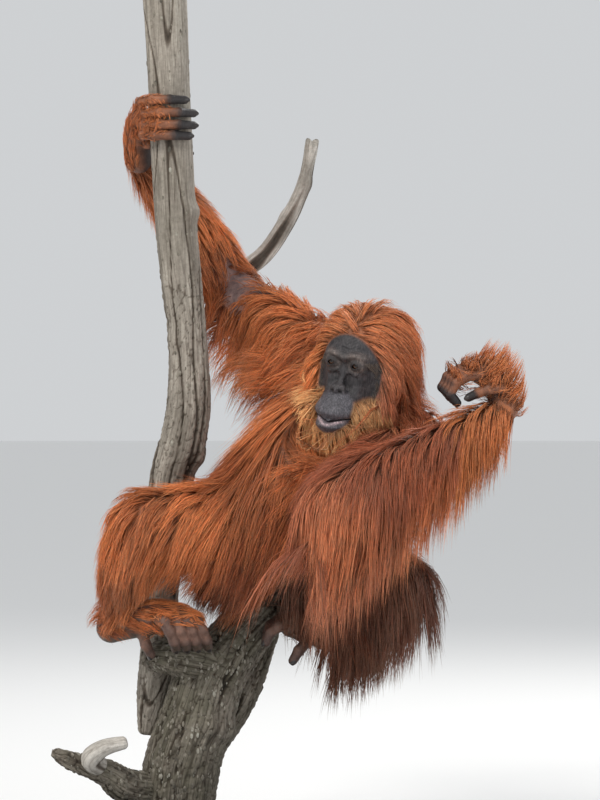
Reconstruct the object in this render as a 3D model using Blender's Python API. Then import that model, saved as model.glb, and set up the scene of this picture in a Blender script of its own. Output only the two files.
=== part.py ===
# Orangutan resting on a broken tree, life size, one closed solid for each named part
import math
import random
from functools import partial

import bmesh
import bpy
import numpy as np
from mathutils import Vector
from mathutils.bvhtree import BVHTree

# Driving sizes in metres
GAP = 0.0005
HEAD_GRID = 0.0030
HEAD_TRIANGLES = 1900
EYE_RADIUS = 0.0105
EYE_SPACING = 0.047
EAR_HEIGHT = 0.036
FINGER_RADIUS = 0.0095
TOE_RADIUS = 0.0105
NAIL_LENGTH = 0.013
POLE_TOP = 1.49
BASE_SIZE = (0.76, 0.60, 0.03)
BASE_CENTRE = (-0.06, 0.0)
ROD_RADIUS = 0.011
LOCK_SINK = 0.010
LOCK_THICKNESS = 0.0045
HUG = 0.030

# Where the face looks and where the midpoint of the eyes is
FACE_POINT = Vector((0.0743, -0.075, 0.8355))
FACE_AXIS = Vector((-0.492, -0.854, -0.171)).normalized()
CROWN_HINT = Vector((0.0845, -0.242, 0.9665))
FACE_LEFT = CROWN_HINT.cross(FACE_AXIS).normalized()
CROWN_AXIS = FACE_AXIS.cross(FACE_LEFT).normalized()

# Colours by region: red, green, blue, roughness
COAT_BACK = (0.40, 0.105, 0.040, 0.75)
COAT_ARM = (0.56, 0.190, 0.075, 0.70)
COAT_PINK = (0.42, 0.130, 0.085, 0.72)
COAT_DARK = (0.16, 0.045, 0.025, 0.80)
HIDE = (0.085, 0.078, 0.082, 0.60)
HAND = (0.240, 0.105, 0.060, 0.70)
NAIL = (0.020, 0.016, 0.015, 0.35)
EYE = (0.030, 0.012, 0.006, 0.08)
BARK = (0.30, 0.255, 0.205, 0.90)
BARK_DARK = (0.12, 0.100, 0.080, 0.92)
STAND = (0.05, 0.05, 0.055, 0.45)

rng = random.Random(11)
cores = {}
lock_trees = []


def mesh_object(name, verts, faces):
    mesh = bpy.data.meshes.new(name)
    mesh.from_pydata([tuple(v) for v in verts], [], faces)
    bm = bmesh.new()
    bm.from_mesh(mesh)
    bmesh.ops.recalc_face_normals(bm, faces=bm.faces)
    if bm.calc_volume(signed=True) < 0.0:
        bmesh.ops.reverse_faces(bm, faces=bm.faces)
    bmesh.ops.triangulate(bm, faces=bm.faces)
    bm.to_mesh(mesh)
    bm.free()
    return bpy.data.objects.new(name, mesh)


def largest_shell(mesh):
    bm = bmesh.new()
    bm.from_mesh(mesh)
    bmesh.ops.triangulate(bm, faces=bm.faces)
    bm.faces.ensure_lookup_table()
    seen = set()
    shells = []
    for face in bm.faces:
        if face.index in seen:
            continue
        seen.add(face.index)
        stack = [face]
        shell = []
        while stack:
            current = stack.pop()
            shell.append(current)
            for edge in current.edges:
                for other in edge.link_faces:
                    if other.index not in seen:
                        seen.add(other.index)
                        stack.append(other)
        shells.append(shell)

    def volume(shell):
        total = 0.0
        for face in shell:
            a, b, c = [v.co for v in face.verts]
            total += a.dot(b.cross(c)) / 6.0
        return total

    best = max(shells, key=volume)
    keep = {face.index for face in best}
    drop = [face for face in bm.faces if face.index not in keep]
    bmesh.ops.delete(bm, geom=drop, context="FACES")
    bm.to_mesh(mesh)
    bm.free()


def combine(target, pieces, operation):
    if not pieces:
        return target
    group = bpy.data.collections.new("pieces")
    bpy.context.scene.collection.children.link(group)
    for piece in pieces:
        group.objects.link(piece)
    if target.name not in bpy.context.scene.collection.objects:
        bpy.context.scene.collection.objects.link(target)
    modifier = target.modifiers.new("combine", "BOOLEAN")
    modifier.operation = operation
    modifier.operand_type = "COLLECTION"
    modifier.collection = group
    modifier.solver = "MANIFOLD"
    graph = bpy.context.evaluated_depsgraph_get()
    mesh = bpy.data.meshes.new_from_object(target.evaluated_get(graph))
    target.modifiers.clear()
    target.data = mesh
    for piece in pieces:
        bpy.data.objects.remove(piece)
    bpy.data.collections.remove(group)
    largest_shell(target.data)
    return target


def tree_of(thing):
    bm = bmesh.new()
    bm.from_mesh(thing.data)
    tree = BVHTree.FromBMesh(bm)
    bm.free()
    return tree


def frame_at(spine, index, hint):
    before = Vector(spine[max(index - 1, 0)][:3])
    after = Vector(spine[min(index + 1, len(spine) - 1)][:3])
    along = (after - before).normalized()
    hint = Vector(hint)
    front = (hint - along * hint.dot(along)).normalized()
    return along, front, along.cross(front)


def tube(name, spine, sides, hint=(0, -1, 0), grow=0.0, rough=0.0, dome=0.62, seed=1):
    # a spine row is x, y, z, radius toward the hint, radius across it
    noise = random.Random(seed)
    verts = []
    rows = []
    for i, row in enumerate(spine):
        along, front, across = frame_at(spine, i, hint)
        centre = Vector(row[:3])
        rings = [(centre, 1.0)]
        small = min(row[3], row[4]) + grow
        if i == 0 and dome:
            rings = [(centre - along * small * dome * 0.72, 0.72), (centre, 1.0)]
        if i == len(spine) - 1 and dome:
            rings = [(centre, 1.0), (centre + along * small * dome * 0.72, 0.72)]
        for middle, scale in rings:
            ring = []
            for k in range(sides):
                angle = 2.0 * math.pi * k / sides
                bump = 1.0 + noise.uniform(-rough, rough)
                reach_a = (row[3] * bump + grow) * scale * math.cos(angle)
                reach_b = (row[4] * bump + grow) * scale * math.sin(angle)
                ring.append(len(verts))
                verts.append(middle + front * reach_a + across * reach_b)
            rows.append(ring)
    faces = []
    for lower, upper in zip(rows, rows[1:]):
        for k in range(sides):
            n = (k + 1) % sides
            faces.append((lower[k], lower[n], upper[n], upper[k]))
    for ring, sign, i in ((rows[0], -1.0, 0), (rows[-1], 1.0, len(spine) - 1)):
        along = frame_at(spine, i, hint)[0]
        centre = Vector(spine[i][:3])
        small = min(spine[i][3], spine[i][4]) + grow
        pole = len(verts)
        verts.append(centre + along * sign * small * dome)
        for k in range(sides):
            faces.append((ring[k], ring[(k + 1) % sides], pole))
    return mesh_object(name, verts, faces)


def ellipsoid(name, centre, axes, radii, segments=10, rings=6, grow=0.0):
    radii = [radius + grow for radius in radii]
    verts = []
    faces = []
    a, b, c = [Vector(axis) for axis in axes]
    centre = Vector(centre)
    for j in range(1, rings):
        lat = math.pi * j / rings - math.pi / 2.0
        for i in range(segments):
            lon = 2.0 * math.pi * i / segments
            x = math.cos(lat) * math.cos(lon) * radii[0]
            y = math.cos(lat) * math.sin(lon) * radii[1]
            verts.append(centre + a * x + b * y + c * math.sin(lat) * radii[2])
    for j in range(rings - 2):
        for i in range(segments):
            n = (i + 1) % segments
            faces.append((j * segments + i, j * segments + n, (j + 1) * segments + n, (j + 1) * segments + i))
    south = len(verts)
    verts.append(centre - c * radii[2])
    north = len(verts)
    verts.append(centre + c * radii[2])
    top = (rings - 2) * segments
    for i in range(segments):
        n = (i + 1) % segments
        faces.append((south, n, i))
        faces.append((north, top + i, top + n))
    return mesh_object(name, verts, faces)


def level_surface(field, low, step):
    # closed surface over the zero level of a grid of distances, cell by cell in six tetrahedra
    shape = np.array(field.shape)
    strides = np.array((shape[1] * shape[2], shape[2], 1))
    inside = field < 0.0
    cells = tuple(shape - 1)
    tally = np.zeros(cells, dtype=int)
    for dx in (0, 1):
        for dy in (0, 1):
            for dz in (0, 1):
                tally += inside[dx:dx + cells[0], dy:dy + cells[1], dz:dz + cells[2]]
    spots = np.argwhere((tally > 0) & (tally < 8))
    corners = np.array([[c & 1, (c >> 1) & 1, (c >> 2) & 1] for c in range(8)])
    nodes = (spots[:, None, :] + corners[None]) @ strides
    flat = field.ravel()
    pairs = []
    for tetra in ((0, 1, 3, 7), (0, 3, 2, 7), (0, 2, 6, 7), (0, 6, 4, 7), (0, 4, 5, 7), (0, 5, 1, 7)):
        ids = nodes[:, tetra]
        below = flat[ids] < 0.0
        number = below.sum(axis=1)
        for lone, wanted in ((True, 1), (False, 3)):
            chosen = ids[number == wanted]
            mark = below[number == wanted] == lone
            apex = np.argmax(mark, axis=1)
            turn = (apex[:, None] + np.arange(4)) % 4
            chosen = np.take_along_axis(chosen, turn, axis=1)
            pairs.append(np.stack([chosen[:, [0, 1]], chosen[:, [0, 2]], chosen[:, [0, 3]]], axis=1))
        chosen = ids[number == 2]
        rank = np.argsort(~below[number == 2], axis=1, kind="stable")
        a, b, c, d = np.take_along_axis(chosen, rank, axis=1).T
        ac, ad, bc, bd = [np.stack(pair, axis=1) for pair in ((a, c), (a, d), (b, c), (b, d))]
        pairs.append(np.stack([ac, ad, bd], axis=1))
        pairs.append(np.stack([ac, bd, bc], axis=1))
    ends = np.sort(np.concatenate(pairs).reshape(-1, 2), axis=1)
    keys, order = np.unique(ends[:, 0] * flat.size + ends[:, 1], return_inverse=True)
    first, second = keys // flat.size, keys % flat.size
    ratio = flat[first] / (flat[first] - flat[second])
    ratio = np.clip(ratio, 0.08, 0.92)
    spot_a = np.stack(np.unravel_index(first, field.shape), axis=1)
    spot_b = np.stack(np.unravel_index(second, field.shape), axis=1)
    verts = np.array(low) + (spot_a + (spot_b - spot_a) * ratio[:, None]) * step
    return verts, order.reshape(-1, 3).tolist()


def decimated(thing, triangles):
    bpy.context.scene.collection.objects.link(thing)
    modifier = thing.modifiers.new("fewer", "DECIMATE")
    count = sum(len(p.vertices) - 2 for p in thing.data.polygons)
    modifier.ratio = min(1.0, triangles / count)
    graph = bpy.context.evaluated_depsgraph_get()
    mesh = bpy.data.meshes.new_from_object(thing.evaluated_get(graph))
    thing.modifiers.clear()
    thing.data = mesh
    largest_shell(mesh)
    return thing


# Distance fields of the head, in its own frame: x to its left, y forward, z to the crown
def ball_field(p, centre, radii):
    q = (p - np.array(centre)) / np.array(radii)
    size = np.sqrt((q ** 2).sum(-1))
    return (size - 1.0) * min(radii)


def bar_field(p, a, b, radius):
    a = np.array(a)
    b = np.array(b)
    t = np.clip(((p - a) @ (b - a)) / ((b - a) @ (b - a)), 0.0, 1.0)
    return np.sqrt(((p - a - t[..., None] * (b - a)) ** 2).sum(-1)) - radius


def soft_union(a, b, k):
    h = np.clip(0.5 + 0.5 * (b - a) / k, 0.0, 1.0)
    return b * (1.0 - h) + a * h - k * h * (1.0 - h)


def soft_cut(a, b, k):
    return -soft_union(-a, b, k)


def head_field(p):
    half = EYE_SPACING / 2.0
    body = ball_field(p, (0, -0.086, 0.014), (0.070, 0.084, 0.074))
    body = soft_union(body, ball_field(p, (0, -0.036, -0.030), (0.054, 0.040, 0.066)), 0.020)
    body = soft_union(body, ball_field(p, (0, -0.004, -0.078), (0.041, 0.040, 0.036)), 0.022)
    body = soft_union(body, ball_field(p, (0, -0.055, -0.098), (0.052, 0.052, 0.040)), 0.025)
    body = soft_union(body, ball_field(p, (0, 0.012, -0.112), (0.029, 0.034, 0.018)), 0.016)
    body = soft_union(body, ball_field(p, (0, -0.070, -0.118), (0.056, 0.050, 0.040)), 0.020)
    hood = ball_field(p, (0, -0.096, 0.020), (0.079, 0.081, 0.077))
    hood = soft_union(hood, ball_field(p, (0, -0.108, -0.040), (0.082, 0.068, 0.078)), 0.030)
    body = soft_union(body, hood, 0.006)
    for side in (-1.0, 1.0):
        flange = ball_field(p, (side * 0.060, -0.034, -0.040), (0.013, 0.017, 0.044))
        body = soft_union(body, flange, 0.010)
        body = soft_cut(body, ball_field(p, (side * 0.043, 0.002, -0.034), (0.009, 0.016, 0.030)), 0.010)
        body = soft_cut(body, ball_field(p, (side * half, 0.010, 0.000), (0.0165, 0.017, 0.0135)), 0.006)
    for side in (-1.0, 1.0):
        brow = bar_field(p, (side * 0.007, 0.002, 0.016), (side * 0.036, -0.009, 0.015), 0.0065)
        body = soft_union(body, brow, 0.008)
        lids = ball_field(p, (side * half, -0.0075, 0.0), (0.0145, 0.0145, 0.0135))
        body = soft_union(body, lids, 0.004)
        body = soft_cut(body, ball_field(p, (side * half, 0.006, -0.001), (0.0115, 0.016, 0.0048)), 0.001)
    body = soft_union(body, bar_field(p, (0, -0.006, 0.004), (0, 0.014, -0.036), 0.0065), 0.010)
    body = soft_union(body, ball_field(p, (0, 0.017, -0.042), (0.0145, 0.0085, 0.0080)), 0.006)
    for side in (-1.0, 1.0):
        body = soft_cut(body, ball_field(p, (side * 0.0060, 0.0275, -0.0450), (0.0034, 0.0075, 0.0036)), 0.001)
    curve = -0.0925 + 5.0 * p[..., 0] ** 2 - 0.0016 * np.cos(p[..., 0] * 150.0)
    upper = ball_field(p, (0, 0.010, -0.080), (0.036, 0.032, 0.0130))
    lower = ball_field(p, (0, 0.018, -0.1020), (0.029, 0.031, 0.0085))
    body = soft_union(body, upper, 0.008)
    body = soft_union(body, lower, 0.006)
    slot = np.maximum(np.abs(p[..., 2] - curve) - 0.0019, np.abs(p[..., 0]) - 0.034)
    slot = np.maximum(slot, -(body + 0.0060))
    slot = np.maximum(slot, -p[..., 1] - 0.004)
    return soft_cut(body, slot, 0.0008)


def from_head(x, y, z):
    return FACE_POINT + FACE_LEFT * x + FACE_AXIS * y + CROWN_AXIS * z


def head_core():
    low = np.array((-0.112, -0.196, -0.174))
    high = np.array((0.112, 0.066, 0.116))
    counts = ((high - low) / HEAD_GRID).astype(int) + 1
    ticks = [low[m] + HEAD_GRID * np.arange(counts[m]) for m in range(3)]
    grid = np.stack(np.meshgrid(*ticks, indexing="ij"), axis=-1)
    verts, faces = level_surface(head_field(grid), low, HEAD_GRID)
    verts = [from_head(*v) for v in verts]
    return decimated(mesh_object("head", verts, faces), HEAD_TRIANGLES)


# Limb and body cores: skin with the inner part of the coat
SPINES = {
    "neck": [
        (0.118, 0.050, 0.735, 0.070, 0.085),
        (0.128, 0.045, 0.790, 0.066, 0.080),
        (0.132, 0.040, 0.850, 0.060, 0.070),
    ],
    "torso": [
        (-0.108, -0.020, 0.500, 0.070, 0.075),
        (-0.085, -0.022, 0.535, 0.098, 0.108),
        (-0.050, -0.018, 0.580, 0.112, 0.122),
        (-0.005, -0.005, 0.625, 0.118, 0.130),
        (0.040, 0.015, 0.672, 0.116, 0.134),
        (0.078, 0.034, 0.714, 0.100, 0.130),
        (0.104, 0.048, 0.750, 0.074, 0.100),
    ],
    "upper_arm_right": [
        (0.060, 0.105, 0.790, 0.060, 0.060),
        (0.018, 0.120, 0.862, 0.062, 0.060),
        (-0.030, 0.180, 0.903, 0.056, 0.054),
        (-0.080, 0.262, 0.942, 0.052, 0.050),
        (-0.122, 0.330, 0.972, 0.050, 0.047),
    ],
    "forearm_right": [
        (-0.124, 0.338, 0.972, 0.046, 0.046),
        (-0.158, 0.300, 1.030, 0.052, 0.054),
        (-0.206, 0.240, 1.102, 0.047, 0.052),
        (-0.252, 0.178, 1.163, 0.036, 0.042),
        (-0.284, 0.134, 1.204, 0.027, 0.032),
    ],
    "upper_arm_left": [
        (0.190, 0.040, 0.700, 0.070, 0.068),
        (0.160, -0.030, 0.672, 0.062, 0.062),
        (0.110, -0.115, 0.638, 0.056, 0.056),
        (0.055, -0.195, 0.606, 0.048, 0.050),
    ],
    "forearm_left": [
        (0.045, -0.215, 0.592, 0.044, 0.046),
        (0.100, -0.198, 0.624, 0.050, 0.052),
        (0.180, -0.168, 0.666, 0.048, 0.050),
        (0.262, -0.138, 0.706, 0.040, 0.042),
        (0.337, -0.110, 0.750, 0.030, 0.032),
    ],
    "thigh_right": [
        (-0.085, -0.035, 0.532, 0.085, 0.072),
        (-0.140, -0.070, 0.550, 0.078, 0.070),
        (-0.205, -0.105, 0.562, 0.066, 0.062),
        (-0.256, -0.130, 0.564, 0.054, 0.054),
    ],
    "shin_right": [
        (-0.266, -0.132, 0.568, 0.050, 0.050),
        (-0.283, -0.112, 0.520, 0.052, 0.052),
        (-0.297, -0.082, 0.470, 0.044, 0.044),
        (-0.303, -0.055, 0.420, 0.034, 0.034),
    ],
    "thigh_left": [
        (-0.015, -0.030, 0.520, 0.080, 0.066),
        (0.045, -0.055, 0.505, 0.074, 0.064),
        (0.115, -0.082, 0.484, 0.064, 0.058),
        (0.166, -0.102, 0.466, 0.052, 0.052),
    ],
    "shin_left": [
        (0.174, -0.105, 0.460, 0.048, 0.048),
        (0.148, -0.082, 0.436, 0.050, 0.048),
        (0.108, -0.046, 0.408, 0.042, 0.042),
        (0.070, -0.012, 0.382, 0.033, 0.033),
    ],
}
HINTS = {
    "upper_arm_right": (0, 0, 1),
    "upper_arm_left": (0, 0, 1),
}


def digit(name, path, radius, segments):
    # one finger or toe: rounded, a little thicker at each knuckle
    spine = []
    for i, point in enumerate(path):
        t = i / (len(path) - 1)
        wide = radius * (1.08 - 0.26 * t)
        spine.append((point[0], point[1], point[2], wide, wide))
    return tube(name, spine, segments, hint=(0.2, -0.5, 0.8), dome=0.8)


def nail(name, path, radius, outward, grow):
    # thin curved plate over the last digit bone
    tip = Vector(path[-1])
    along = (tip - Vector(path[-2])).normalized()
    outward = Vector(outward)
    up = (outward - along * outward.dot(along)).normalized()
    side = along.cross(up)
    centre = tip + up * radius * 0.66 + along * radius * 0.10
    return ellipsoid(name, centre, (along, side, up), (NAIL_LENGTH / 2, radius * 0.56, radius * 0.30), 6, 3, grow)


def hand_right_parts():
    palm = [
        (-0.283, 0.126, 1.196, 0.026, 0.030),
        (-0.284, 0.102, 1.225, 0.022, 0.036),
        (-0.281, 0.076, 1.250, 0.019, 0.038),
        (-0.276, 0.052, 1.262, 0.015, 0.034),
    ]
    palm = tube("hand_right", palm, 8, hint=(-1, 0, 0.2))
    digits = []
    for k, height in enumerate((1.292, 1.270, 1.249, 1.230)):
        pole = Vector(pole_centre(height))
        reach = pole_radius(height) + FINGER_RADIUS + 0.0012
        sweep = (136, 160, 158, 142)[k]
        path = []
        for i in range(5):
            t = i / 4.0
            angle = math.radians(170.0 + sweep * t)
            lift = (height - 1.262) * (0.62 + 0.38 * min(1.0, t * 3.0)) + 1.262
            spread = reach + 0.006 * (1.0 - t)
            path.append(Vector((pole.x + spread * math.cos(angle), pole.y + spread * math.sin(angle), lift)))
        digits.append((path, FINGER_RADIUS, (math.cos(angle), math.sin(angle), 0.0)))
    pole = Vector(pole_centre(1.215))
    reach = pole_radius(1.215) + FINGER_RADIUS + 0.002
    thumb = []
    for i in range(5):
        angle = math.radians(150.0 - 24.0 * i)
        thumb.append(Vector((pole.x + reach * math.cos(angle), pole.y + reach * math.sin(angle), 1.222 - 0.004 * i)))
    digits.append((thumb, FINGER_RADIUS, (math.cos(angle), math.sin(angle), 0.0)))
    return palm, digits


def hand_left_parts():
    palm = [
        (0.344, -0.106, 0.760, 0.028, 0.030),
        (0.338, -0.100, 0.790, 0.022, 0.034),
        (0.322, -0.094, 0.812, 0.019, 0.036),
        (0.300, -0.088, 0.822, 0.015, 0.034),
    ]
    palm = tube("hand_left", palm, 8, hint=(1, 0, 0.6))
    digits = []
    for k in range(4):
        shift = Vector((-0.004, 0.020, 0.004)) * (k - 1.5)
        start = Vector((0.300, -0.088, 0.820)) + shift
        path = [
            start,
            start + Vector((-0.022, -0.002, 0.000)),
            start + Vector((-0.043, -0.004, -0.012)),
            start + Vector((-0.052, -0.004, -0.030)),
            start + Vector((-0.041, -0.003, -0.045)),
        ]
        digits.append((path, FINGER_RADIUS, (-0.3, 0.0, -1.0)))
    thumb = [
        Vector((0.338, -0.128, 0.792)),
        Vector((0.318, -0.134, 0.792)),
        Vector((0.300, -0.132, 0.786)),
        Vector((0.284, -0.128, 0.778)),
    ]
    digits.append((thumb, FINGER_RADIUS, (0.0, -1.0, 0.2)))
    return palm, digits


def foot_right_parts():
    sole = [
        (-0.322, -0.040, 0.385, 0.030, 0.026),
        (-0.290, -0.056, 0.397, 0.036, 0.034),
        (-0.250, -0.074, 0.405, 0.036, 0.032),
        (-0.215, -0.084, 0.405, 0.034, 0.024),
        (-0.190, -0.088, 0.400, 0.032, 0.018),
    ]
    palm = tube("foot_right", sole, 8)
    digits = []
    for k in range(4):
        start = Vector((-0.236 + 0.018 * k, -0.112 + 0.011 * k, 0.404))
        path = [
            start,
            start + Vector((0.008, -0.014, -0.004)),
            start + Vector((0.017, -0.018, -0.020)),
            start + Vector((0.024, -0.010, -0.038)),
            start + Vector((0.026, 0.004, -0.050)),
        ]
        digits.append((path, TOE_RADIUS, (0.2, -1.0, -0.3)))
    great = [
        Vector((-0.268, -0.070, 0.378)),
        Vector((-0.262, -0.068, 0.358)),
        Vector((-0.254, -0.060, 0.340)),
    ]
    digits.append((great, TOE_RADIUS, (-0.6, -0.7, 0.0)))
    return palm, digits


def foot_left_parts():
    sole = [
        (0.078, -0.002, 0.362, 0.028, 0.024),
        (0.050, -0.006, 0.372, 0.034, 0.032),
        (0.016, -0.014, 0.382, 0.034, 0.028),
        (-0.014, -0.022, 0.388, 0.030, 0.020),
    ]
    palm = tube("foot_left", sole, 8)
    digits = []
    for k in range(4):
        start = Vector((-0.018, -0.050 + 0.016 * k, 0.388 + 0.003 * k))
        path = [
            start,
            start + Vector((-0.018, -0.006, 0.000)),
            start + Vector((-0.033, -0.010, -0.010)),
            start + Vector((-0.040, -0.012, -0.027)),
        ]
        digits.append((path, TOE_RADIUS, (-0.7, -0.6, 0.3)))
    great = [
        Vector((0.012, -0.026, 0.360)),
        Vector((-0.002, -0.030, 0.345)),
        Vector((-0.012, -0.030, 0.328)),
    ]
    digits.append((great, TOE_RADIUS, (0.4, -0.9, 0.0)))
    return palm, digits


# The tree: broken pole, bough, side branch and stubs
POLE_ROWS = [
    (-0.236, 0.060, POLE_TOP, 0.039),
    (-0.229, 0.060, 1.340, 0.037),
    (-0.222, 0.060, 1.200, 0.037),
    (-0.216, 0.060, 1.090, 0.037),
    (-0.206, 0.060, 0.980, 0.036),
    (-0.195, 0.060, 0.877, 0.034),
    (-0.193, 0.062, 0.774, 0.038),
    (-0.204, 0.064, 0.705, 0.041),
    (-0.224, 0.066, 0.636, 0.038),
    (-0.236, 0.062, 0.540, 0.035),
    (-0.243, 0.055, 0.440, 0.033),
    (-0.244, 0.046, 0.350, 0.033),
    (-0.256, 0.040, 0.265, 0.028),
    (-0.266, 0.034, 0.195, 0.014),
]
BOUGH_ROWS = [
    (-0.213, 0.000, 0.072, 0.066),
    (-0.202, 0.000, 0.150, 0.067),
    (-0.178, 0.004, 0.224, 0.065),
    (-0.156, 0.012, 0.292, 0.061),
    (-0.120, 0.024, 0.344, 0.054),
    (-0.077, 0.034, 0.396, 0.047),
    (-0.034, 0.044, 0.442, 0.043),
    (0.015, 0.058, 0.482, 0.042),
    (0.075, 0.078, 0.520, 0.040),
    (0.135, 0.096, 0.560, 0.037),
    (0.180, 0.110, 0.590, 0.034),
]
SIDE_ROWS = [
    (-0.194, 0.085, 0.850, 0.021),
    (-0.212, 0.200, 0.895, 0.020),
    (-0.200, 0.350, 0.950, 0.019),
    (-0.135, 0.430, 0.995, 0.018),
    (-0.070, 0.420, 1.038, 0.017),
    (-0.028, 0.410, 1.095, 0.016),
    (0.000, 0.400, 1.150, 0.014),
    (0.014, 0.395, 1.198, 0.012),
    (0.021, 0.390, 1.240, 0.008),
]
BURL_ROWS = [
    (-0.262, 0.010, 0.330, 0.022),
    (-0.225, -0.020, 0.335, 0.032),
    (-0.185, -0.025, 0.332, 0.036),
    (-0.145, -0.010, 0.322, 0.034),
]
STUB_ROWS = [
    (-0.255, -0.020, 0.108, 0.030),
    (-0.300, -0.050, 0.118, 0.030),
    (-0.330, -0.062, 0.140, 0.024),
    (-0.385, -0.075, 0.160, 0.016),
    (-0.420, -0.080, 0.176, 0.009),
]
LOG_ROWS = [
    (-0.335, -0.080, 0.150, 0.016),
    (-0.352, -0.096, 0.166, 0.019),
    (-0.330, -0.104, 0.186, 0.015),
    (-0.292, -0.106, 0.196, 0.011),
]
BACK_ROWS = [
    (-0.150, 0.060, 0.180, 0.026),
    (-0.118, 0.082, 0.226, 0.027),
    (-0.088, 0.086, 0.280, 0.025),
    (-0.068, 0.084, 0.335, 0.022),
    (-0.045, 0.080, 0.395, 0.018),
]


def row_at(rows, height):
    for low, high in zip(rows[1:], rows):
        if low[2] <= height <= high[2]:
            t = (height - low[2]) / (high[2] - low[2])
            return [low[m] + (high[m] - low[m]) * t for m in range(4)]
    return list(rows[0])


def pole_centre(height):
    return row_at(POLE_ROWS, height)[:3]


def pole_radius(height):
    return row_at(POLE_ROWS, height)[3]


def wood_grown(rows, sides, rough, seed, dome, hint, name, grow):
    spine = [(x, y, z, r, r) for x, y, z, r in rows]
    return tube(name, spine, sides, hint, grow, rough, dome, seed)


def core_grown(label, sides, name, grow):
    return tube(name, SPINES[label], sides, HINTS.get(label, (0, -1, 0)), grow)


def rod_grown(x, name, grow):
    rows = [(x, 0.0, BASE_SIZE[2] + 0.0003), (x, 0.0, 0.10)]
    spine = [row + (ROD_RADIUS, ROD_RADIUS) for row in rows]
    return tube(name, spine, 12, (0, 1, 0), grow, 0.0, 0.0001)


def base_grown(name, grow):
    return box(name, (BASE_CENTRE[0], BASE_CENTRE[1], BASE_SIZE[2] / 2), BASE_SIZE)


def eye_grown(side, name, grow):
    centre = from_head(side * EYE_SPACING / 2, -0.0075, 0.0)
    return ellipsoid(name, centre, (FACE_LEFT, CROWN_AXIS, FACE_AXIS), (EYE_RADIUS,) * 3, 8, 6, grow)


def ear_grown(side, name, grow):
    return ear_oval(name, side, grow)


def nail_grown(path, radius, outward, name, grow):
    return nail(name, path, radius, outward, grow)


# Coat rows on each tube: place along it, number, first and last angle, length, width, droop, lift
COATS = {
    "neck": [
        (0.50, 4, 100, 260, 0.14, 0.027, 0.30, 0.15),
    ],
    "torso": [
        (0.90, 5, -160, 150, 0.17, 0.030, 0.22, 0.10),
        (0.70, 6, -180, 180, 0.18, 0.034, 0.22, 0.10),
        (0.50, 6, -180, 180, 0.18, 0.034, 0.25, 0.10),
        (0.30, 6, -180, 180, 0.18, 0.034, 0.30, 0.10),
        (0.12, 5, -180, 180, 0.17, 0.032, 0.40, 0.10),
    ],
    "upper_arm_right": [
        (0.12, 4, -180, 180, 0.15, 0.030, 0.35, 0.10),
        (0.38, 5, -180, 180, 0.16, 0.032, 0.45, 0.10),
        (0.64, 5, -180, 180, 0.15, 0.031, 0.45, 0.10),
        (0.88, 4, -180, 180, 0.12, 0.026, 0.45, 0.10),
    ],
    "forearm_right": [
        (0.92, 4, -180, 180, 0.11, 0.019, 0.10, 0.15),
        (0.70, 4, -180, 180, 0.12, 0.025, 0.15, 0.12),
        (0.46, 4, -180, 180, 0.12, 0.026, 0.20, 0.12),
        (0.22, 4, -180, 180, 0.12, 0.026, 0.30, 0.12),
    ],
    "upper_arm_left": [
        (0.10, 4, -180, 180, 0.15, 0.029, 0.30, 0.10),
        (0.40, 5, -180, 180, 0.15, 0.029, 0.35, 0.10),
        (0.72, 5, -180, 180, 0.13, 0.027, 0.40, 0.10),
    ],
    "forearm_left": [
        (0.93, 3, -40, 110, 0.10, 0.020, 0.35, 0.20),
        (0.80, 2, -60, 60, 0.12, 0.025, 0.35, 0.12),
        (0.76, 3, 60, 150, 0.20, 0.023, 0.60, 0.15),
        (0.60, 2, -70, 60, 0.14, 0.027, 0.35, 0.12),
        (0.58, 3, 60, 150, 0.24, 0.024, 0.60, 0.12),
        (0.40, 2, -70, 60, 0.15, 0.027, 0.35, 0.12),
        (0.38, 3, 60, 150, 0.25, 0.026, 0.60, 0.12),
        (0.20, 2, -70, 60, 0.15, 0.027, 0.40, 0.12),
        (0.16, 2, 60, 150, 0.20, 0.026, 0.60, 0.12),
        (0.02, 2, -60, 100, 0.15, 0.024, 0.45, 0.20),
    ],
    "thigh_right": [
        (0.30, 4, -80, 130, 0.13, 0.027, 0.30, 0.12),
        (0.60, 4, -100, 130, 0.13, 0.027, 0.30, 0.12),
        (0.90, 4, -110, 130, 0.12, 0.026, 0.30, 0.12),
    ],
    "shin_right": [
        (0.10, 5, -180, 150, 0.13, 0.024, 0.15, 0.18),
        (0.42, 5, -180, 150, 0.12, 0.024, 0.15, 0.18),
        (0.75, 4, -180, 150, 0.10, 0.022, 0.10, 0.20),
    ],
    "thigh_left": [
        (0.35, 3, -110, 60, 0.14, 0.027, 0.35, 0.12),
        (0.62, 4, -110, 100, 0.15, 0.027, 0.35, 0.12),
        (0.90, 3, -110, 60, 0.15, 0.026, 0.35, 0.12),
    ],
    "shin_left": [
        (0.15, 4, -170, 140, 0.15, 0.024, 0.30, 0.12),
        (0.48, 4, -170, 140, 0.14, 0.024, 0.30, 0.15),
        (0.80, 3, -170, 140, 0.11, 0.022, 0.30, 0.15),
    ],
}
# Lie of the hair on each tube: share of the tube's own direction, and a fixed direction
LIES = {
    "neck": (-0.8, (0.0, 0.3, -0.6)),
    "torso": (-0.8, (-0.10, 0.0, -0.45)),
    "upper_arm_right": (0.6, (-0.20, -0.10, -0.55)),
    "forearm_right": (-1.0, (0.0, 0.0, -0.20)),
    "upper_arm_left": (0.6, (-0.20, 0.0, -0.60)),
    "forearm_left": (-0.75, (0.10, 0.0, -0.60)),
    "thigh_right": (0.35, (-0.25, 0.0, -0.80)),
    "shin_right": (0.8, (-0.35, 0.0, -0.40)),
    "thigh_left": (0.2, (0.10, 0.0, -0.90)),
    "shin_left": (0.3, (0.15, 0.0, -0.90)),
}
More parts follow.
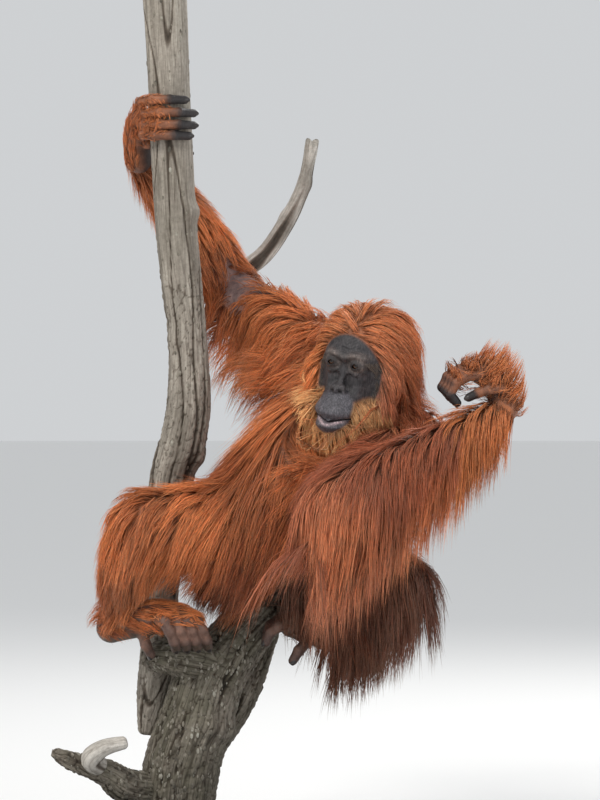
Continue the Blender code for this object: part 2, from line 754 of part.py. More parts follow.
# Hood: rise above the eye line, locks each side, first and last turn from the face, length, width
HOOD_ROWS = [
    (76, 1, 40, 130, 0.13, 0.030),
    (52, 3, 18, 165, 0.14, 0.030),
    (22, 4, 48, 172, 0.14, 0.027),
    (-8, 3, 58, 172, 0.14, 0.028),
    (-36, 2, 75, 165, 0.13, 0.027),
]
# Beard: turn from the face, rise, length, width
BEARD = [
    (12, -9, 0.055, 0.011),
    (36, -8, 0.058, 0.012),
    (60, -2, 0.058, 0.013),
    (84, 8, 0.058, 0.014),
    (104, 20, 0.055, 0.014),
]
# Short locks of hands and feet: start inside, direction out, lie, length, width, droop, lift
SPOTS = {
    "hand_right": [
        ((-0.284, 0.110, 1.215), (-1.0, 0.0, 0.0), (0.0, 0.2, -1.0), 0.070, 0.012, 0.1, 0.30),
        ((-0.284, 0.090, 1.235), (-0.9, -0.4, 0.0), (0.0, 0.2, -1.0), 0.060, 0.012, 0.1, 0.25),
        ((-0.281, 0.072, 1.255), (-0.8, -0.6, 0.1), (0.0, 0.3, -1.0), 0.050, 0.011, 0.1, 0.20),
        ((-0.284, 0.110, 1.215), (-0.7, 0.7, 0.0), (-0.2, 0.2, -1.0), 0.070, 0.012, 0.1, 0.25),
    ],
    "hand_left": [
        ((0.342, -0.104, 0.775), (1.0, -0.2, 0.3), (0.7, -0.1, 1.0), 0.085, 0.011, 0.0, 0.80),
        ((0.342, -0.104, 0.775), (1.0, -0.7, 0.1), (0.9, -0.2, 0.6), 0.070, 0.011, 0.0, 0.70),
        ((0.340, -0.102, 0.785), (0.8, 0.3, 0.6), (0.5, 0.0, 1.0), 0.060, 0.011, 0.0, 0.60),
        ((0.330, -0.097, 0.803), (0.5, -0.5, 0.8), (0.6, -0.1, -0.3), 0.045, 0.010, 0.1, 0.30),
    ],
    "foot_right": [
        ((-0.290, -0.056, 0.397), (-0.2, -0.7, 0.7), (0.5, -0.2, -0.3), 0.070, 0.014, 0.1, 0.20),
        ((-0.265, -0.066, 0.402), (0.0, -0.6, 0.8), (0.8, -0.2, -0.2), 0.065, 0.013, 0.1, 0.20),
        ((-0.235, -0.076, 0.405), (0.0, -0.5, 0.9), (0.9, -0.1, -0.2), 0.055, 0.012, 0.1, 0.20),
        ((-0.318, -0.042, 0.387), (-0.8, -0.6, 0.2), (-0.4, -0.1, -1.0), 0.060, 0.013, 0.1, 0.40),
        ((-0.318, -0.042, 0.387), (-1.0, 0.2, 0.0), (-0.4, 0.1, -1.0), 0.060, 0.013, 0.1, 0.40),
        ((-0.300, -0.052, 0.393), (-0.4, -0.9, -0.1), (-0.2, -0.1, -1.0), 0.050, 0.012, 0.1, 0.35),
    ],
    "foot_left": [
        ((0.050, -0.006, 0.372), (0.3, -0.6, 0.8), (-0.6, -0.2, -0.4), 0.060, 0.013, 0.2, 0.20),
        ((0.022, -0.012, 0.381), (0.0, -0.6, 0.8), (-0.7, -0.2, -0.3), 0.055, 0.012, 0.2, 0.20),
        ((0.074, -0.003, 0.363), (0.8, -0.6, 0.0), (0.3, -0.1, -1.0), 0.060, 0.013, 0.2, 0.35),
    ],
}


# Locks of hair: flat, tapered, following the lie of the coat and then gravity
def signed_distance(tree, point):
    place, normal, _, distance = tree.find_nearest(point)
    if (point - place).dot(normal) >= 0.0 or distance > 0.15:
        return True, distance, place, normal
    crossings = 0
    start = point
    while crossings < 20:
        hit, _, _, _ = tree.ray_cast(start, Vector((0.31, 0.22, 0.92)))
        if hit is None:
            break
        crossings += 1
        start = hit + Vector((0.31, 0.22, 0.92)) * 0.00005
    return crossings % 2 == 0, distance, place, normal


def lock_path(owner, root, normal, lie, length, droop, lift):
    count = 4
    step = length / count
    points = [root - normal * LOCK_SINK]
    normals = [normal]
    heading = (lie - normal * lie.dot(normal)).normalized() + normal * lift
    heading.normalize()
    here = root + normal * 0.003
    for i in range(count):
        pull = droop * (i + 1) / count
        heading = (heading * (1.0 - pull) + Vector((0, 0, -1)) * pull).normalized()
        here = here + heading * step
        outside, distance, place, facing = signed_distance(cores[owner], here)
        reach = (0.007, 0.010, 0.014, 0.020)[i]
        if outside and reach < distance < HUG and facing.dot(Vector((0, 0, -1))) < 0.5:
            here = place + (here - place).normalized() * reach
        best = None
        for _ in range(3):
            for name, tree in cores.items():
                outside, distance, place, facing = signed_distance(tree, here)
                need = 0.006 + 0.002 * i if name == owner else 0.012
                if not outside:
                    here = place + facing * need
                elif distance < need:
                    here = place + (here - place).normalized() * need
        for tree in cores.values():
            outside, distance, place, facing = signed_distance(tree, here)
            if best is None or distance < best[0]:
                best = (distance, (here - place).normalized())
        heading = (here - points[-1]).normalized()
        facing = best[1] if best[0] < 0.06 else normals[-1]
        points.append(here.copy())
        normals.append(facing)
    return points, normals


def lock_mesh(points, normals, width, grow=0.0):
    verts = []
    faces = []
    shares = (0.75, 1.0, 0.92, 0.58)
    for i, share in enumerate(shares):
        along = (points[i + 1] - points[max(i - 1, 0)]).normalized()
        side = along.cross(normals[i]).normalized()
        up = side.cross(along)
        half = width * share + grow * 2.0
        thick = LOCK_THICKNESS * (0.8 + 0.4 * share) + grow
        base = points[i] - up * (thick * 0.4 + grow)
        verts.append(base - side * half)
        verts.append(base + side * half)
        verts.append(points[i] + up * thick)
    tip = points[-1] + (points[-1] - points[-2]).normalized() * grow * 2.0
    verts.append(tip)
    for i in range(len(shares) - 1):
        for k in range(3):
            n = (k + 1) % 3
            faces.append((3 * i + k, 3 * i + n, 3 * i + 3 + n))
            faces.append((3 * i + k, 3 * i + 3 + n, 3 * i + 3 + k))
    last = 3 * (len(shares) - 1)
    faces.append((2, 1, 0))
    for k in range(3):
        faces.append((last + k, last + (k + 1) % 3, len(verts) - 1))
    return verts, faces


def add_lock(owner, found, root, normal, lie, length, width, droop, lift):
    for name, tree in cores.items():
        if name != owner:
            outside, distance, _, _ = signed_distance(tree, root)
            if not outside or distance < 0.3 * width:
                return
    for attempt in range(5):
        reach = length * (1.0, 0.85, 0.7, 0.55, 0.42)[attempt]
        rise = lift + (0.0, 0.15, 0.3, 0.1, 0.2)[attempt]
        points, normals = lock_path(owner, root, normal, lie, reach, droop, rise)
        run = points[-1] - root
        sideways = Vector((run.x, run.y, 0.0)).length
        _, clearance, _, _ = signed_distance(cores[owner], points[-1])
        if clearance > 0.045 and sideways > -0.9 * run.z and lift < 0.3:
            continue
        verts, faces = lock_mesh(points, normals, width, 0.0006)
        shell = BVHTree.FromPolygons([tuple(v) for v in verts], faces)
        clear = all(name == owner or not shell.overlap(tree) for name, tree in cores.items())
        clear = clear and all(name == owner or not shell.overlap(tree) for name, tree in lock_trees)
        if clear:
            verts, faces = lock_mesh(points, normals, width)
            found.append((verts, faces))
            lock_trees.append((owner, shell))
            return


def spine_point(spine, t, hint):
    place = t * (len(spine) - 1)
    i = min(int(place), len(spine) - 2)
    f = place - i
    row = [spine[i][m] * (1.0 - f) + spine[i + 1][m] * f for m in range(5)]
    along = (Vector(spine[i + 1][:3]) - Vector(spine[i][:3])).normalized()
    hint = Vector(hint)
    front = (hint - along * hint.dot(along)).normalized()
    return Vector(row[:3]), along, front, along.cross(front)


def coat_tube(owner, found):
    spine = SPINES[owner]
    hint = HINTS.get(owner, (0, -1, 0))
    share_along, fall = LIES[owner]
    for t, number, first, last, length, width, droop, lift in COATS[owner]:
        for k in range(number):
            share = (k + rng.uniform(0.25, 0.75)) / number
            angle = math.radians(first + (last - first) * share)
            where = min(max(t + rng.uniform(-0.04, 0.04), 0.0), 1.0)
            centre, along, front, across = spine_point(spine, where, hint)
            ray = front * math.cos(angle) + across * math.sin(angle)
            grow_lock(owner, found, centre, ray, along * share_along + Vector(fall), length, width, droop, lift)


def grow_lock(owner, found, centre, ray, way, length, width, droop, lift):
    ray = ray.normalized()
    root, normal, _, _ = cores[owner].ray_cast(centre + ray * 0.3, -ray, 0.4)
    if root is None:
        return
    size = length * rng.uniform(0.88, 1.15)
    add_lock(owner, found, root, normal, way, size, width * rng.uniform(0.88, 1.15), droop, lift)


def coat_head(found):
    # hood: rows of locks from the crown down, parted over the face
    for lift_angle, number, first, last, length, width in HOOD_ROWS:
        for k in range(number):
            share = (k + 0.5) / number
            for side in (-1.0, 1.0):
                turn = math.radians(first + (last - first) * share + rng.uniform(-4, 4))
                rise = math.radians(lift_angle + rng.uniform(-4, 4))
                ray = FACE_AXIS * math.cos(turn) * math.cos(rise)
                ray = ray + FACE_LEFT * side * math.sin(turn) * math.cos(rise) + CROWN_AXIS * math.sin(rise)
                way = FACE_LEFT * side * math.sin(turn) * 0.9 - CROWN_AXIS - FACE_AXIS * 0.35
                grow_lock("head", found, from_head(0, -0.095, 0), ray, way, length, width, 0.40, 0.0)
    # beard and cheek whiskers: short locks under and beside the jaw
    for turn_angle, rise_angle, length, width in BEARD:
        for side in (-1.0, 1.0):
            turn = math.radians(turn_angle)
            rise = math.radians(rise_angle)
            ray = FACE_AXIS * math.cos(turn) * math.cos(rise)
            ray = ray + FACE_LEFT * side * math.sin(turn) * math.cos(rise) + CROWN_AXIS * math.sin(rise)
            way = FACE_LEFT * side * math.sin(turn) * 0.5 - CROWN_AXIS + FACE_AXIS * 0.5
            grow_lock("head", found, from_head(0, -0.010, -0.095), ray, way, length, width, 0.15, 0.35)


def coat_spots(owner, found):
    # a few short locks at named places on a hand or foot
    for centre, ray, way, length, width, droop, lift in SPOTS[owner]:
        grow_lock(owner, found, Vector(centre), Vector(ray), Vector(way), length, width, droop, lift)


def pinched(mesh):
    # true where two edges of the surface lie on each other
    count = {}
    for polygon in mesh.polygons:
        corners = [tuple(round(v * 400000) for v in mesh.vertices[i].co) for i in polygon.vertices]
        for a, b in zip(corners, corners[1:] + corners[:1]):
            edge = (a, b) if a < b else (b, a)
            count[edge] = count.get(edge, 0) + 1
    return any(number != 2 for edge, number in count.items() if edge[0] != edge[1])


def fuse(thing, found):
    # the locks are sunk a hair deeper until the joined surface is clean
    plain = thing.data.copy()
    for attempt in range(8):
        thing.data = plain.copy()
        sink = Vector((0.00003, -0.00002, -0.00004)) * attempt
        combine(thing, [mesh_object("lock", [v + sink for v in verts], faces) for verts, faces in found], "UNION")
        if not pinched(thing.data):
            break
    return thing


def finish(thing, name, colour, smooth=True):
    thing.name = name
    thing.data.name = name
    if thing.name not in bpy.context.scene.collection.objects:
        bpy.context.scene.collection.objects.link(thing)
    material = bpy.data.materials.new(name + "_material")
    material.use_nodes = True
    shader = material.node_tree.nodes["Principled BSDF"]
    shader.inputs["Base Color"].default_value = (colour[0], colour[1], colour[2], 1.0)
    shader.inputs["Roughness"].default_value = colour[3]
    shader.inputs["Metallic"].default_value = 0.0
    material.diffuse_color = (colour[0], colour[1], colour[2], 1.0)
    thing.data.materials.clear()
    thing.data.materials.append(material)
    for polygon in thing.data.polygons:
        polygon.use_smooth = smooth


def box(name, centre, size):
    verts = []
    for dx in (-0.5, 0.5):
        for dy in (-0.5, 0.5):
            for dz in (-0.5, 0.5):
                verts.append(Vector(centre) + Vector((dx * size[0], dy * size[1], dz * size[2])))
    faces = [(0, 1, 3, 2), (4, 6, 7, 5), (0, 4, 5, 1), (2, 3, 7, 6), (0, 2, 6, 4), (1, 5, 7, 3)]
    return mesh_object(name, verts, faces)


def ear_oval(name, side, grow, hollow=False):
    # small upright oval beside the head, or the hollow in its outer face
    centre = from_head(side * 0.081, -0.088, -0.006)
    outward = (FACE_LEFT * side + FACE_AXIS * 0.45).normalized()
    upright = (CROWN_AXIS - outward * CROWN_AXIS.dot(outward)).normalized()
    axes = (upright.cross(outward), upright, outward)
    if hollow:
        radii = (EAR_HEIGHT * 0.22, EAR_HEIGHT * 0.33, 0.0085)
        return ellipsoid(name, centre + outward * 0.0075, axes, radii, 7, 4)
    return ellipsoid(name, centre, axes, (EAR_HEIGHT * 0.36, EAR_HEIGHT / 2, 0.010), 9, 4, grow)


def build():
    for thing in list(bpy.data.objects):
        bpy.data.objects.remove(thing)
    solids = {}
    colours = {}
    makers = {}

    def place(name, colour, others, maker, extra=()):
        # maker takes a name and the growth that keeps the gap to what it cuts
        makers[name] = maker
        cutters = [makers[other]("cutter", GAP) for other in others] + list(extra)
        thing = combine(maker(name, 0.0), cutters, "DIFFERENCE")
        thing.name = name
        solids[name] = thing
        colours[name] = colour

    # tree first: everything else is cut clear of it
    for name, rows, sides, rough, seed, dome, hint, colour, others in (
        ("perch_pole", POLE_ROWS, 10, 0.05, 3, 0.12, (0, -1, 0), BARK, []),
        ("perch_bough", BOUGH_ROWS, 12, 0.06, 5, 0.12, (1, 0, 0), BARK, []),
        ("perch_side_branch", SIDE_ROWS, 8, 0.06, 7, 0.12, (0, -1, 0), BARK, ["perch_pole"]),
        ("perch_burl", BURL_ROWS, 10, 0.10, 9, 0.5, (0, -1, 0), BARK_DARK, ["perch_pole", "perch_bough"]),
        ("perch_low_stub", STUB_ROWS, 10, 0.10, 13, 0.3, (0, -1, 0), BARK, ["perch_bough"]),
        ("perch_short_log", LOG_ROWS, 8, 0.10, 15, 0.2, (0, -1, 0), BARK, ["perch_low_stub", "perch_bough"]),
        ("perch_back_branch", BACK_ROWS, 8, 0.10, 17, 0.4, (0, -1, 0), BARK_DARK, ["perch_bough"]),
    ):
        make = partial(wood_grown, rows, sides, rough, seed, dome, hint)
        place(name, colour, others, make)
    trees = list(solids)

    # stand: flat base and two short rods up to the cut end of the bough
    place("stand_base", STAND, [], base_grown)
    for number, x in ((1, -0.240), (2, -0.186)):
        place("stand_rod_%d" % number, STAND, ["perch_bough"], partial(rod_grown, x))

    # trunk and limbs, each part cut clear of the ones before it
    tube_nodes = [
        ("torso", 16, COAT_BACK, []),
        ("neck", 12, COAT_BACK, ["torso"]),
        ("upper_arm_right", 10, COAT_ARM, ["neck", "torso"]),
        ("forearm_right", 10, COAT_ARM, ["upper_arm_right"]),
        ("upper_arm_left", 10, COAT_PINK, ["torso", "neck"]),
        ("forearm_left", 10, COAT_PINK, ["upper_arm_left", "torso"]),
        ("thigh_right", 10, COAT_BACK, ["torso"]),
        ("shin_right", 10, COAT_BACK, ["thigh_right"]),
        ("thigh_left", 10, COAT_DARK, ["torso", "thigh_right"]),
        ("shin_left", 10, COAT_DARK, ["thigh_left"]),
    ]
    for name, sides, colour, others in tube_nodes:
        place(name, colour, others + trees, partial(core_grown, name, sides))

    # hands and feet with their nails
    for label, maker, limb in (
        ("hand_right", hand_right_parts, "forearm_right"),
        ("hand_left", hand_left_parts, "forearm_left"),
        ("foot_right", foot_right_parts, "shin_right"),
        ("foot_left", foot_left_parts, "shin_left"),
    ):
        palm, digits = maker()
        nails = []
        for k, (path, radius, outward) in enumerate(digits):
            name = "nail_%s_%d" % (label, k + 1)
            place(name, NAIL, trees + [limb], partial(nail_grown, path, radius * 0.82, outward))
            nails.append(name)
        whole = combine(palm, [digit("digit", path, radius, 5) for path, radius, _ in digits], "UNION")
        place(label, HAND, nails + [limb] + trees, lambda name, grow: whole)

    # eyes, ears, head
    for side, label in ((-1.0, "right"), (1.0, "left")):
        place("eye_" + label, EYE, [], partial(eye_grown, side))
        hollow = [ear_oval("hollow", side, 0.0, True)]
        place("ear_" + label, HIDE, [], partial(ear_grown, side), hollow)
    parts = ["eye_right", "eye_left", "ear_right", "ear_left", "neck", "torso", "upper_arm_right", "upper_arm_left"]
    place("head", COAT_BACK, parts, lambda name, grow: head_core())

    # coats: locks are grown on each node in turn, clear of all the others, then fused with it
    for name, thing in solids.items():
        cores[name] = tree_of(thing)
    coated = ["head", "forearm_left", "torso", "upper_arm_right", "forearm_right", "shin_right", "thigh_right"]
    coated += ["upper_arm_left", "neck", "shin_left", "thigh_left", *SPOTS]
    for name in coated:
        found = []
        if name == "head":
            coat_head(found)
        elif name in SPOTS:
            coat_spots(name, found)
        else:
            coat_tube(name, found)
        solids[name] = fuse(solids[name], found)

    for name, thing in solids.items():
        finish(thing, name, colours[name], smooth=not name.startswith("stand_base"))
    return solids


build()
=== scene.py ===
# Orangutan resting in a broken tree: the looks of the museum model
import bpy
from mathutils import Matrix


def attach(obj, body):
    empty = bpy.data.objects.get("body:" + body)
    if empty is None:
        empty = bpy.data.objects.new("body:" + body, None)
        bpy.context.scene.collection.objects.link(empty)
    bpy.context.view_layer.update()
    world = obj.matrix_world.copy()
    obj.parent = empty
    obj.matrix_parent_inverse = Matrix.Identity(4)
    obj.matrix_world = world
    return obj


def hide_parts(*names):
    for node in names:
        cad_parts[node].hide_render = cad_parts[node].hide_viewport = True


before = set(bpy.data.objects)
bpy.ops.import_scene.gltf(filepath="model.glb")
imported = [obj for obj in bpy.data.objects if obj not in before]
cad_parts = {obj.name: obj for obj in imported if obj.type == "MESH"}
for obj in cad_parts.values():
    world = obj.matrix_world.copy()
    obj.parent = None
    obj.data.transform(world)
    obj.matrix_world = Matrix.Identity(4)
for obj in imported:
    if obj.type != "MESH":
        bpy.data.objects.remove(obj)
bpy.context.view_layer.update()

import math
import time
import bmesh
import bpy
import numpy as np
from mathutils import Vector, noise
from mathutils.bvhtree import BVHTree
from mathutils.kdtree import KDTree

startTime = time.time()


def report(stage):
    print("stage: %s (%.1f s)" % (stage, time.time() - startTime))


# the head's own frame: x to its left, y forward, z to the crown
face = {
    "point": Vector((0.0743, -0.075, 0.8355)),
    "forward": Vector((-0.492, -0.854, -0.171)).normalized(),
    "crownHint": Vector((0.0845, -0.242, 0.9665)),
    "step": 0.0015,
    "triangles": 90000,
    "eyeSpacing": 0.047,
    "eyeRadius": 0.0105,
}
faceLeft = face["crownHint"].cross(face["forward"]).normalized()
faceCrown = face["forward"].cross(faceLeft).normalized()
headAxes = np.array([faceLeft, face["forward"], faceCrown])  # rows are the axes
headPoint = np.array(face["point"])


def fromHead(p):
    return headPoint + np.asarray(p) @ headAxes


def toHead(p):
    return (np.asarray(p) - headPoint) @ headAxes.T


# spines of neck, trunk and limbs: x, y, z, radius toward the hint, radius across it
spines = {
    "neck": [
        (0.118, 0.050, 0.735, 0.070, 0.085),
        (0.128, 0.045, 0.790, 0.066, 0.080),
        (0.132, 0.040, 0.850, 0.060, 0.070),
    ],
    "torso": [
        (-0.108, -0.020, 0.500, 0.070, 0.075),
        (-0.085, -0.022, 0.535, 0.098, 0.108),
        (-0.050, -0.018, 0.580, 0.112, 0.122),
        (-0.005, -0.005, 0.625, 0.118, 0.130),
        (0.040, 0.015, 0.672, 0.116, 0.134),
        (0.078, 0.034, 0.714, 0.100, 0.130),
        (0.104, 0.048, 0.750, 0.074, 0.100),
    ],
    "upper_arm_right": [
        (0.060, 0.105, 0.790, 0.060, 0.060),
        (0.018, 0.120, 0.862, 0.062, 0.060),
        (-0.030, 0.180, 0.903, 0.056, 0.054),
        (-0.080, 0.262, 0.942, 0.052, 0.050),
        (-0.122, 0.330, 0.972, 0.050, 0.047),
    ],
    "forearm_right": [
        (-0.124, 0.338, 0.972, 0.046, 0.046),
        (-0.158, 0.300, 1.030, 0.052, 0.054),
        (-0.206, 0.240, 1.102, 0.047, 0.052),
        (-0.252, 0.178, 1.163, 0.036, 0.042),
        (-0.284, 0.134, 1.204, 0.027, 0.032),
    ],
    "upper_arm_left": [
        (0.190, 0.040, 0.700, 0.070, 0.068),
        (0.160, -0.030, 0.672, 0.062, 0.062),
        (0.110, -0.115, 0.638, 0.056, 0.056),
        (0.055, -0.195, 0.606, 0.048, 0.050),
    ],
    "forearm_left": [
        (0.045, -0.215, 0.592, 0.044, 0.046),
        (0.100, -0.198, 0.624, 0.050, 0.052),
        (0.180, -0.168, 0.666, 0.048, 0.050),
        (0.262, -0.138, 0.706, 0.040, 0.042),
        (0.337, -0.110, 0.750, 0.030, 0.032),
    ],
    "thigh_right": [
        (-0.085, -0.035, 0.532, 0.085, 0.072),
        (-0.140, -0.070, 0.550, 0.078, 0.070),
        (-0.205, -0.105, 0.562, 0.066, 0.062),
        (-0.256, -0.130, 0.564, 0.054, 0.054),
    ],
    "shin_right": [
        (-0.266, -0.132, 0.568, 0.050, 0.050),
        (-0.283, -0.112, 0.520, 0.052, 0.052),
        (-0.297, -0.082, 0.470, 0.044, 0.044),
        (-0.303, -0.055, 0.420, 0.034, 0.034),
    ],
    "thigh_left": [
        (-0.015, -0.030, 0.520, 0.080, 0.066),
        (0.045, -0.055, 0.505, 0.074, 0.064),
        (0.115, -0.082, 0.484, 0.064, 0.058),
        (0.166, -0.102, 0.466, 0.052, 0.052),
    ],
    "shin_left": [
        (0.174, -0.105, 0.460, 0.048, 0.048),
        (0.148, -0.082, 0.436, 0.050, 0.048),
        (0.108, -0.046, 0.408, 0.042, 0.042),
        (0.070, -0.012, 0.382, 0.033, 0.033),
    ],
}
hints = {"upper_arm_right": (0, 0, 1), "upper_arm_left": (0, 0, 1)}

# the tree's lengths: x, y, z, radius
woods = {
    "perch_pole": [
        (-0.236, 0.060, 1.490, 0.039), (-0.229, 0.060, 1.340, 0.037), (-0.222, 0.060, 1.200, 0.037),
        (-0.216, 0.060, 1.090, 0.037), (-0.206, 0.060, 0.980, 0.036), (-0.195, 0.060, 0.877, 0.034),
        (-0.193, 0.062, 0.774, 0.038), (-0.204, 0.064, 0.705, 0.041), (-0.224, 0.066, 0.636, 0.038),
        (-0.236, 0.062, 0.540, 0.035), (-0.243, 0.055, 0.440, 0.033), (-0.244, 0.046, 0.350, 0.033),
        (-0.256, 0.040, 0.265, 0.028), (-0.266, 0.034, 0.195, 0.014),
    ],
    "perch_bough": [
        (-0.213, 0.000, 0.072, 0.066), (-0.202, 0.000, 0.150, 0.067), (-0.178, 0.004, 0.224, 0.065),
        (-0.156, 0.012, 0.292, 0.061), (-0.120, 0.024, 0.344, 0.054), (-0.077, 0.034, 0.396, 0.047),
        (-0.034, 0.044, 0.442, 0.043), (0.015, 0.058, 0.482, 0.042), (0.075, 0.078, 0.520, 0.040),
        (0.135, 0.096, 0.560, 0.037), (0.180, 0.110, 0.590, 0.034),
    ],
    "perch_side_branch": [
        (-0.194, 0.085, 0.850, 0.021), (-0.212, 0.200, 0.895, 0.020), (-0.200, 0.350, 0.950, 0.019),
        (-0.135, 0.430, 0.995, 0.018), (-0.070, 0.420, 1.038, 0.017), (-0.028, 0.410, 1.095, 0.016),
        (0.000, 0.400, 1.150, 0.014), (0.014, 0.395, 1.198, 0.012), (0.021, 0.390, 1.240, 0.008),
    ],
    "perch_burl": [
        (-0.262, 0.010, 0.330, 0.022), (-0.225, -0.020, 0.335, 0.032), (-0.185, -0.025, 0.332, 0.036),
        (-0.145, -0.010, 0.322, 0.034),
    ],
    "perch_low_stub": [
        (-0.255, -0.020, 0.108, 0.030), (-0.300, -0.050, 0.118, 0.030), (-0.330, -0.062, 0.140, 0.024),
        (-0.385, -0.075, 0.160, 0.016), (-0.420, -0.080, 0.176, 0.009),
    ],
    "perch_short_log": [
        (-0.335, -0.080, 0.150, 0.016), (-0.352, -0.096, 0.166, 0.019), (-0.330, -0.104, 0.186, 0.015),
        (-0.292, -0.106, 0.196, 0.011),
    ],
    "perch_back_branch": [
        (-0.150, 0.060, 0.180, 0.026), (-0.118, 0.082, 0.226, 0.027), (-0.088, 0.086, 0.280, 0.025),
        (-0.068, 0.084, 0.335, 0.022), (-0.045, 0.080, 0.395, 0.018),
    ],
}


def poleAt(height):
    rows = woods["perch_pole"]
    for low, high in zip(rows[1:], rows):
        if low[2] <= height <= high[2]:
            t = (height - low[2]) / (high[2] - low[2])
            return [low[m] + (high[m] - low[m]) * t for m in range(4)]
    return list(rows[0])


# fields on a grid: negative inside, in metres
def makeGrid(low, high, step):
    counts = ((np.array(high) - np.array(low)) / step).astype(int) + 1
    ticks = [(low[m] + step * np.arange(counts[m])).astype(np.float32) for m in range(3)]
    points = np.stack(np.meshgrid(*ticks, indexing="ij"), axis=-1)
    body = np.full(points.shape[:3], 0.09, np.float32)
    return {"low": np.array(low), "step": step, "p": points, "body": body}


def softUnion(a, b, k):
    h = np.clip(0.5 + 0.5 * (b - a) / k, 0.0, 1.0)
    return b * (1.0 - h) + a * h - k * h * (1.0 - h)


def softCut(a, b, k):
    return -softUnion(-a, b, k)


def areaOf(grid, low, high):
    start = np.maximum(((np.array(low) - grid["low"]) / grid["step"]).astype(int), 0)
    stop = np.maximum(((np.array(high) - grid["low"]) / grid["step"]).astype(int) + 2, 0)
    return tuple(slice(start[m], stop[m]) for m in range(3))


def ball(grid, centre, radii, k, cut=False):  # works only near the form, so small forms are quick
    reach = np.array(radii) + k + 3 * grid["step"] + (0.06 if k > 0.015 else 0.0)
    area = areaOf(grid, np.array(centre) - reach, np.array(centre) + reach)
    q = (grid["p"][area] - np.array(centre, np.float32)) / np.array(radii, np.float32)
    form = (np.sqrt((q ** 2).sum(-1)) - 1.0) * min(radii)
    grid["body"][area] = (softCut if cut else softUnion)(grid["body"][area], form, k)


def barForm(p, a, b, radiusA, radiusB):
    a = np.array(a, np.float32)
    b = np.array(b, np.float32)
    t = np.clip(((p - a) @ (b - a)) / ((b - a) @ (b - a)), 0.0, 1.0)
    return np.sqrt(((p - a - t[..., None] * (b - a)) ** 2).sum(-1)) - (radiusA + (radiusB - radiusA) * t)


def chain(grid, points, radii, k, cut=False, inner=0.0006):  # bars end to end, blended as one into the body
    reach = max(radii) + k + 3 * grid["step"] + (0.06 if k > 0.015 else 0.0)
    corners = np.array([tuple(q)[:3] for q in points])
    area = areaOf(grid, corners.min(0) - reach, corners.max(0) + reach)
    form = None
    for i in range(len(points) - 1):
        piece = barForm(grid["p"][area], corners[i], corners[i + 1], radii[i], radii[i + 1])
        form = piece if form is None else softUnion(form, piece, inner)
    grid["body"][area] = (softCut if cut else softUnion)(grid["body"][area], form, k)


def levelSurface(field, low, step):  # closed surface over the zero level, six tetrahedra to a cell
    shape = np.array(field.shape)
    strides = np.array((shape[1] * shape[2], shape[2], 1))
    inside = field < 0.0
    cells = tuple(shape - 1)
    tally = np.zeros(cells, np.int8)
    for dx in (0, 1):
        for dy in (0, 1):
            for dz in (0, 1):
                tally += inside[dx:dx + cells[0], dy:dy + cells[1], dz:dz + cells[2]]
    spots = np.argwhere((tally > 0) & (tally < 8))
    corners = np.array([[c & 1, (c >> 1) & 1, (c >> 2) & 1] for c in range(8)])
    nodes = (spots[:, None, :] + corners[None]) @ strides
    flat = field.ravel().astype(float)
    sets = []
    for tetra in ((0, 1, 3, 7), (0, 3, 2, 7), (0, 2, 6, 7), (0, 6, 4, 7), (0, 4, 5, 7), (0, 5, 1, 7)):
        ids = nodes[:, tetra]
        below = flat[ids] < 0.0
        number = below.sum(axis=1)
        for lone, wanted in ((True, 1), (False, 3)):
            chosen = ids[number == wanted]
            apex = np.argmax(below[number == wanted] == lone, axis=1)
            chosen = np.take_along_axis(chosen, (apex[:, None] + np.arange(4)) % 4, axis=1)
            sets.append(np.stack([chosen[:, [0, 1]], chosen[:, [0, 2]], chosen[:, [0, 3]]], axis=1))
        rank = np.argsort(~below[number == 2], axis=1, kind="stable")
        a, b, c, d = np.take_along_axis(ids[number == 2], rank, axis=1).T
        ac, ad, bc, bd = [np.stack(pair, axis=1) for pair in ((a, c), (a, d), (b, c), (b, d))]
        sets.append(np.stack([ac, ad, bd], axis=1))
        sets.append(np.stack([ac, bd, bc], axis=1))
    ends = np.sort(np.concatenate(sets).reshape(-1, 2), axis=1)
    keys, order = np.unique(ends[:, 0] * flat.size + ends[:, 1], return_inverse=True)
    first, second = keys // flat.size, keys % flat.size
    ratio = np.clip(flat[first] / (flat[first] - flat[second]), 0.05, 0.95)
    spotA = np.stack(np.unravel_index(first, field.shape), axis=1)
    spotB = np.stack(np.unravel_index(second, field.shape), axis=1)
    return np.array(low) + (spotA + (spotB - spotA) * ratio[:, None]) * step, order.reshape(-1, 3)


# small mesh helpers
def meshFrom(name, verts, faces, smooth=True, recalc=True):
    mesh = bpy.data.meshes.new(name)
    mesh.from_pydata(np.asarray(verts, float).tolist(), [], [list(map(int, f)) for f in faces])
    if recalc:
        bm = bmesh.new()
        bm.from_mesh(mesh)
        bmesh.ops.recalc_face_normals(bm, faces=bm.faces)
        if bm.calc_volume(signed=True) < 0.0:
            bmesh.ops.reverse_faces(bm, faces=bm.faces)
        bm.to_mesh(mesh)
        bm.free()
    mesh.polygons.foreach_set("use_smooth", [smooth] * len(mesh.polygons))
    thing = bpy.data.objects.new(name, mesh)
    bpy.context.scene.collection.objects.link(thing)
    return thing


def settle(thing):  # applies the live modifiers
    graph = bpy.context.evaluated_depsgraph_get()
    mesh = bpy.data.meshes.new_from_object(thing.evaluated_get(graph))
    thing.modifiers.clear()
    thing.data = mesh
    mesh.name = thing.name
    mesh.polygons.foreach_set("use_smooth", [True] * len(mesh.polygons))


def thinned(thing, triangles):
    count = sum(len(p.vertices) - 2 for p in thing.data.polygons)
    if count > triangles:
        modifier = thing.modifiers.new("fewer", "DECIMATE")
        modifier.ratio = triangles / count
        settle(thing)


def smoothed(thing, factor, times):
    modifier = thing.modifiers.new("even", "SMOOTH")
    modifier.factor = factor
    modifier.iterations = times
    settle(thing)


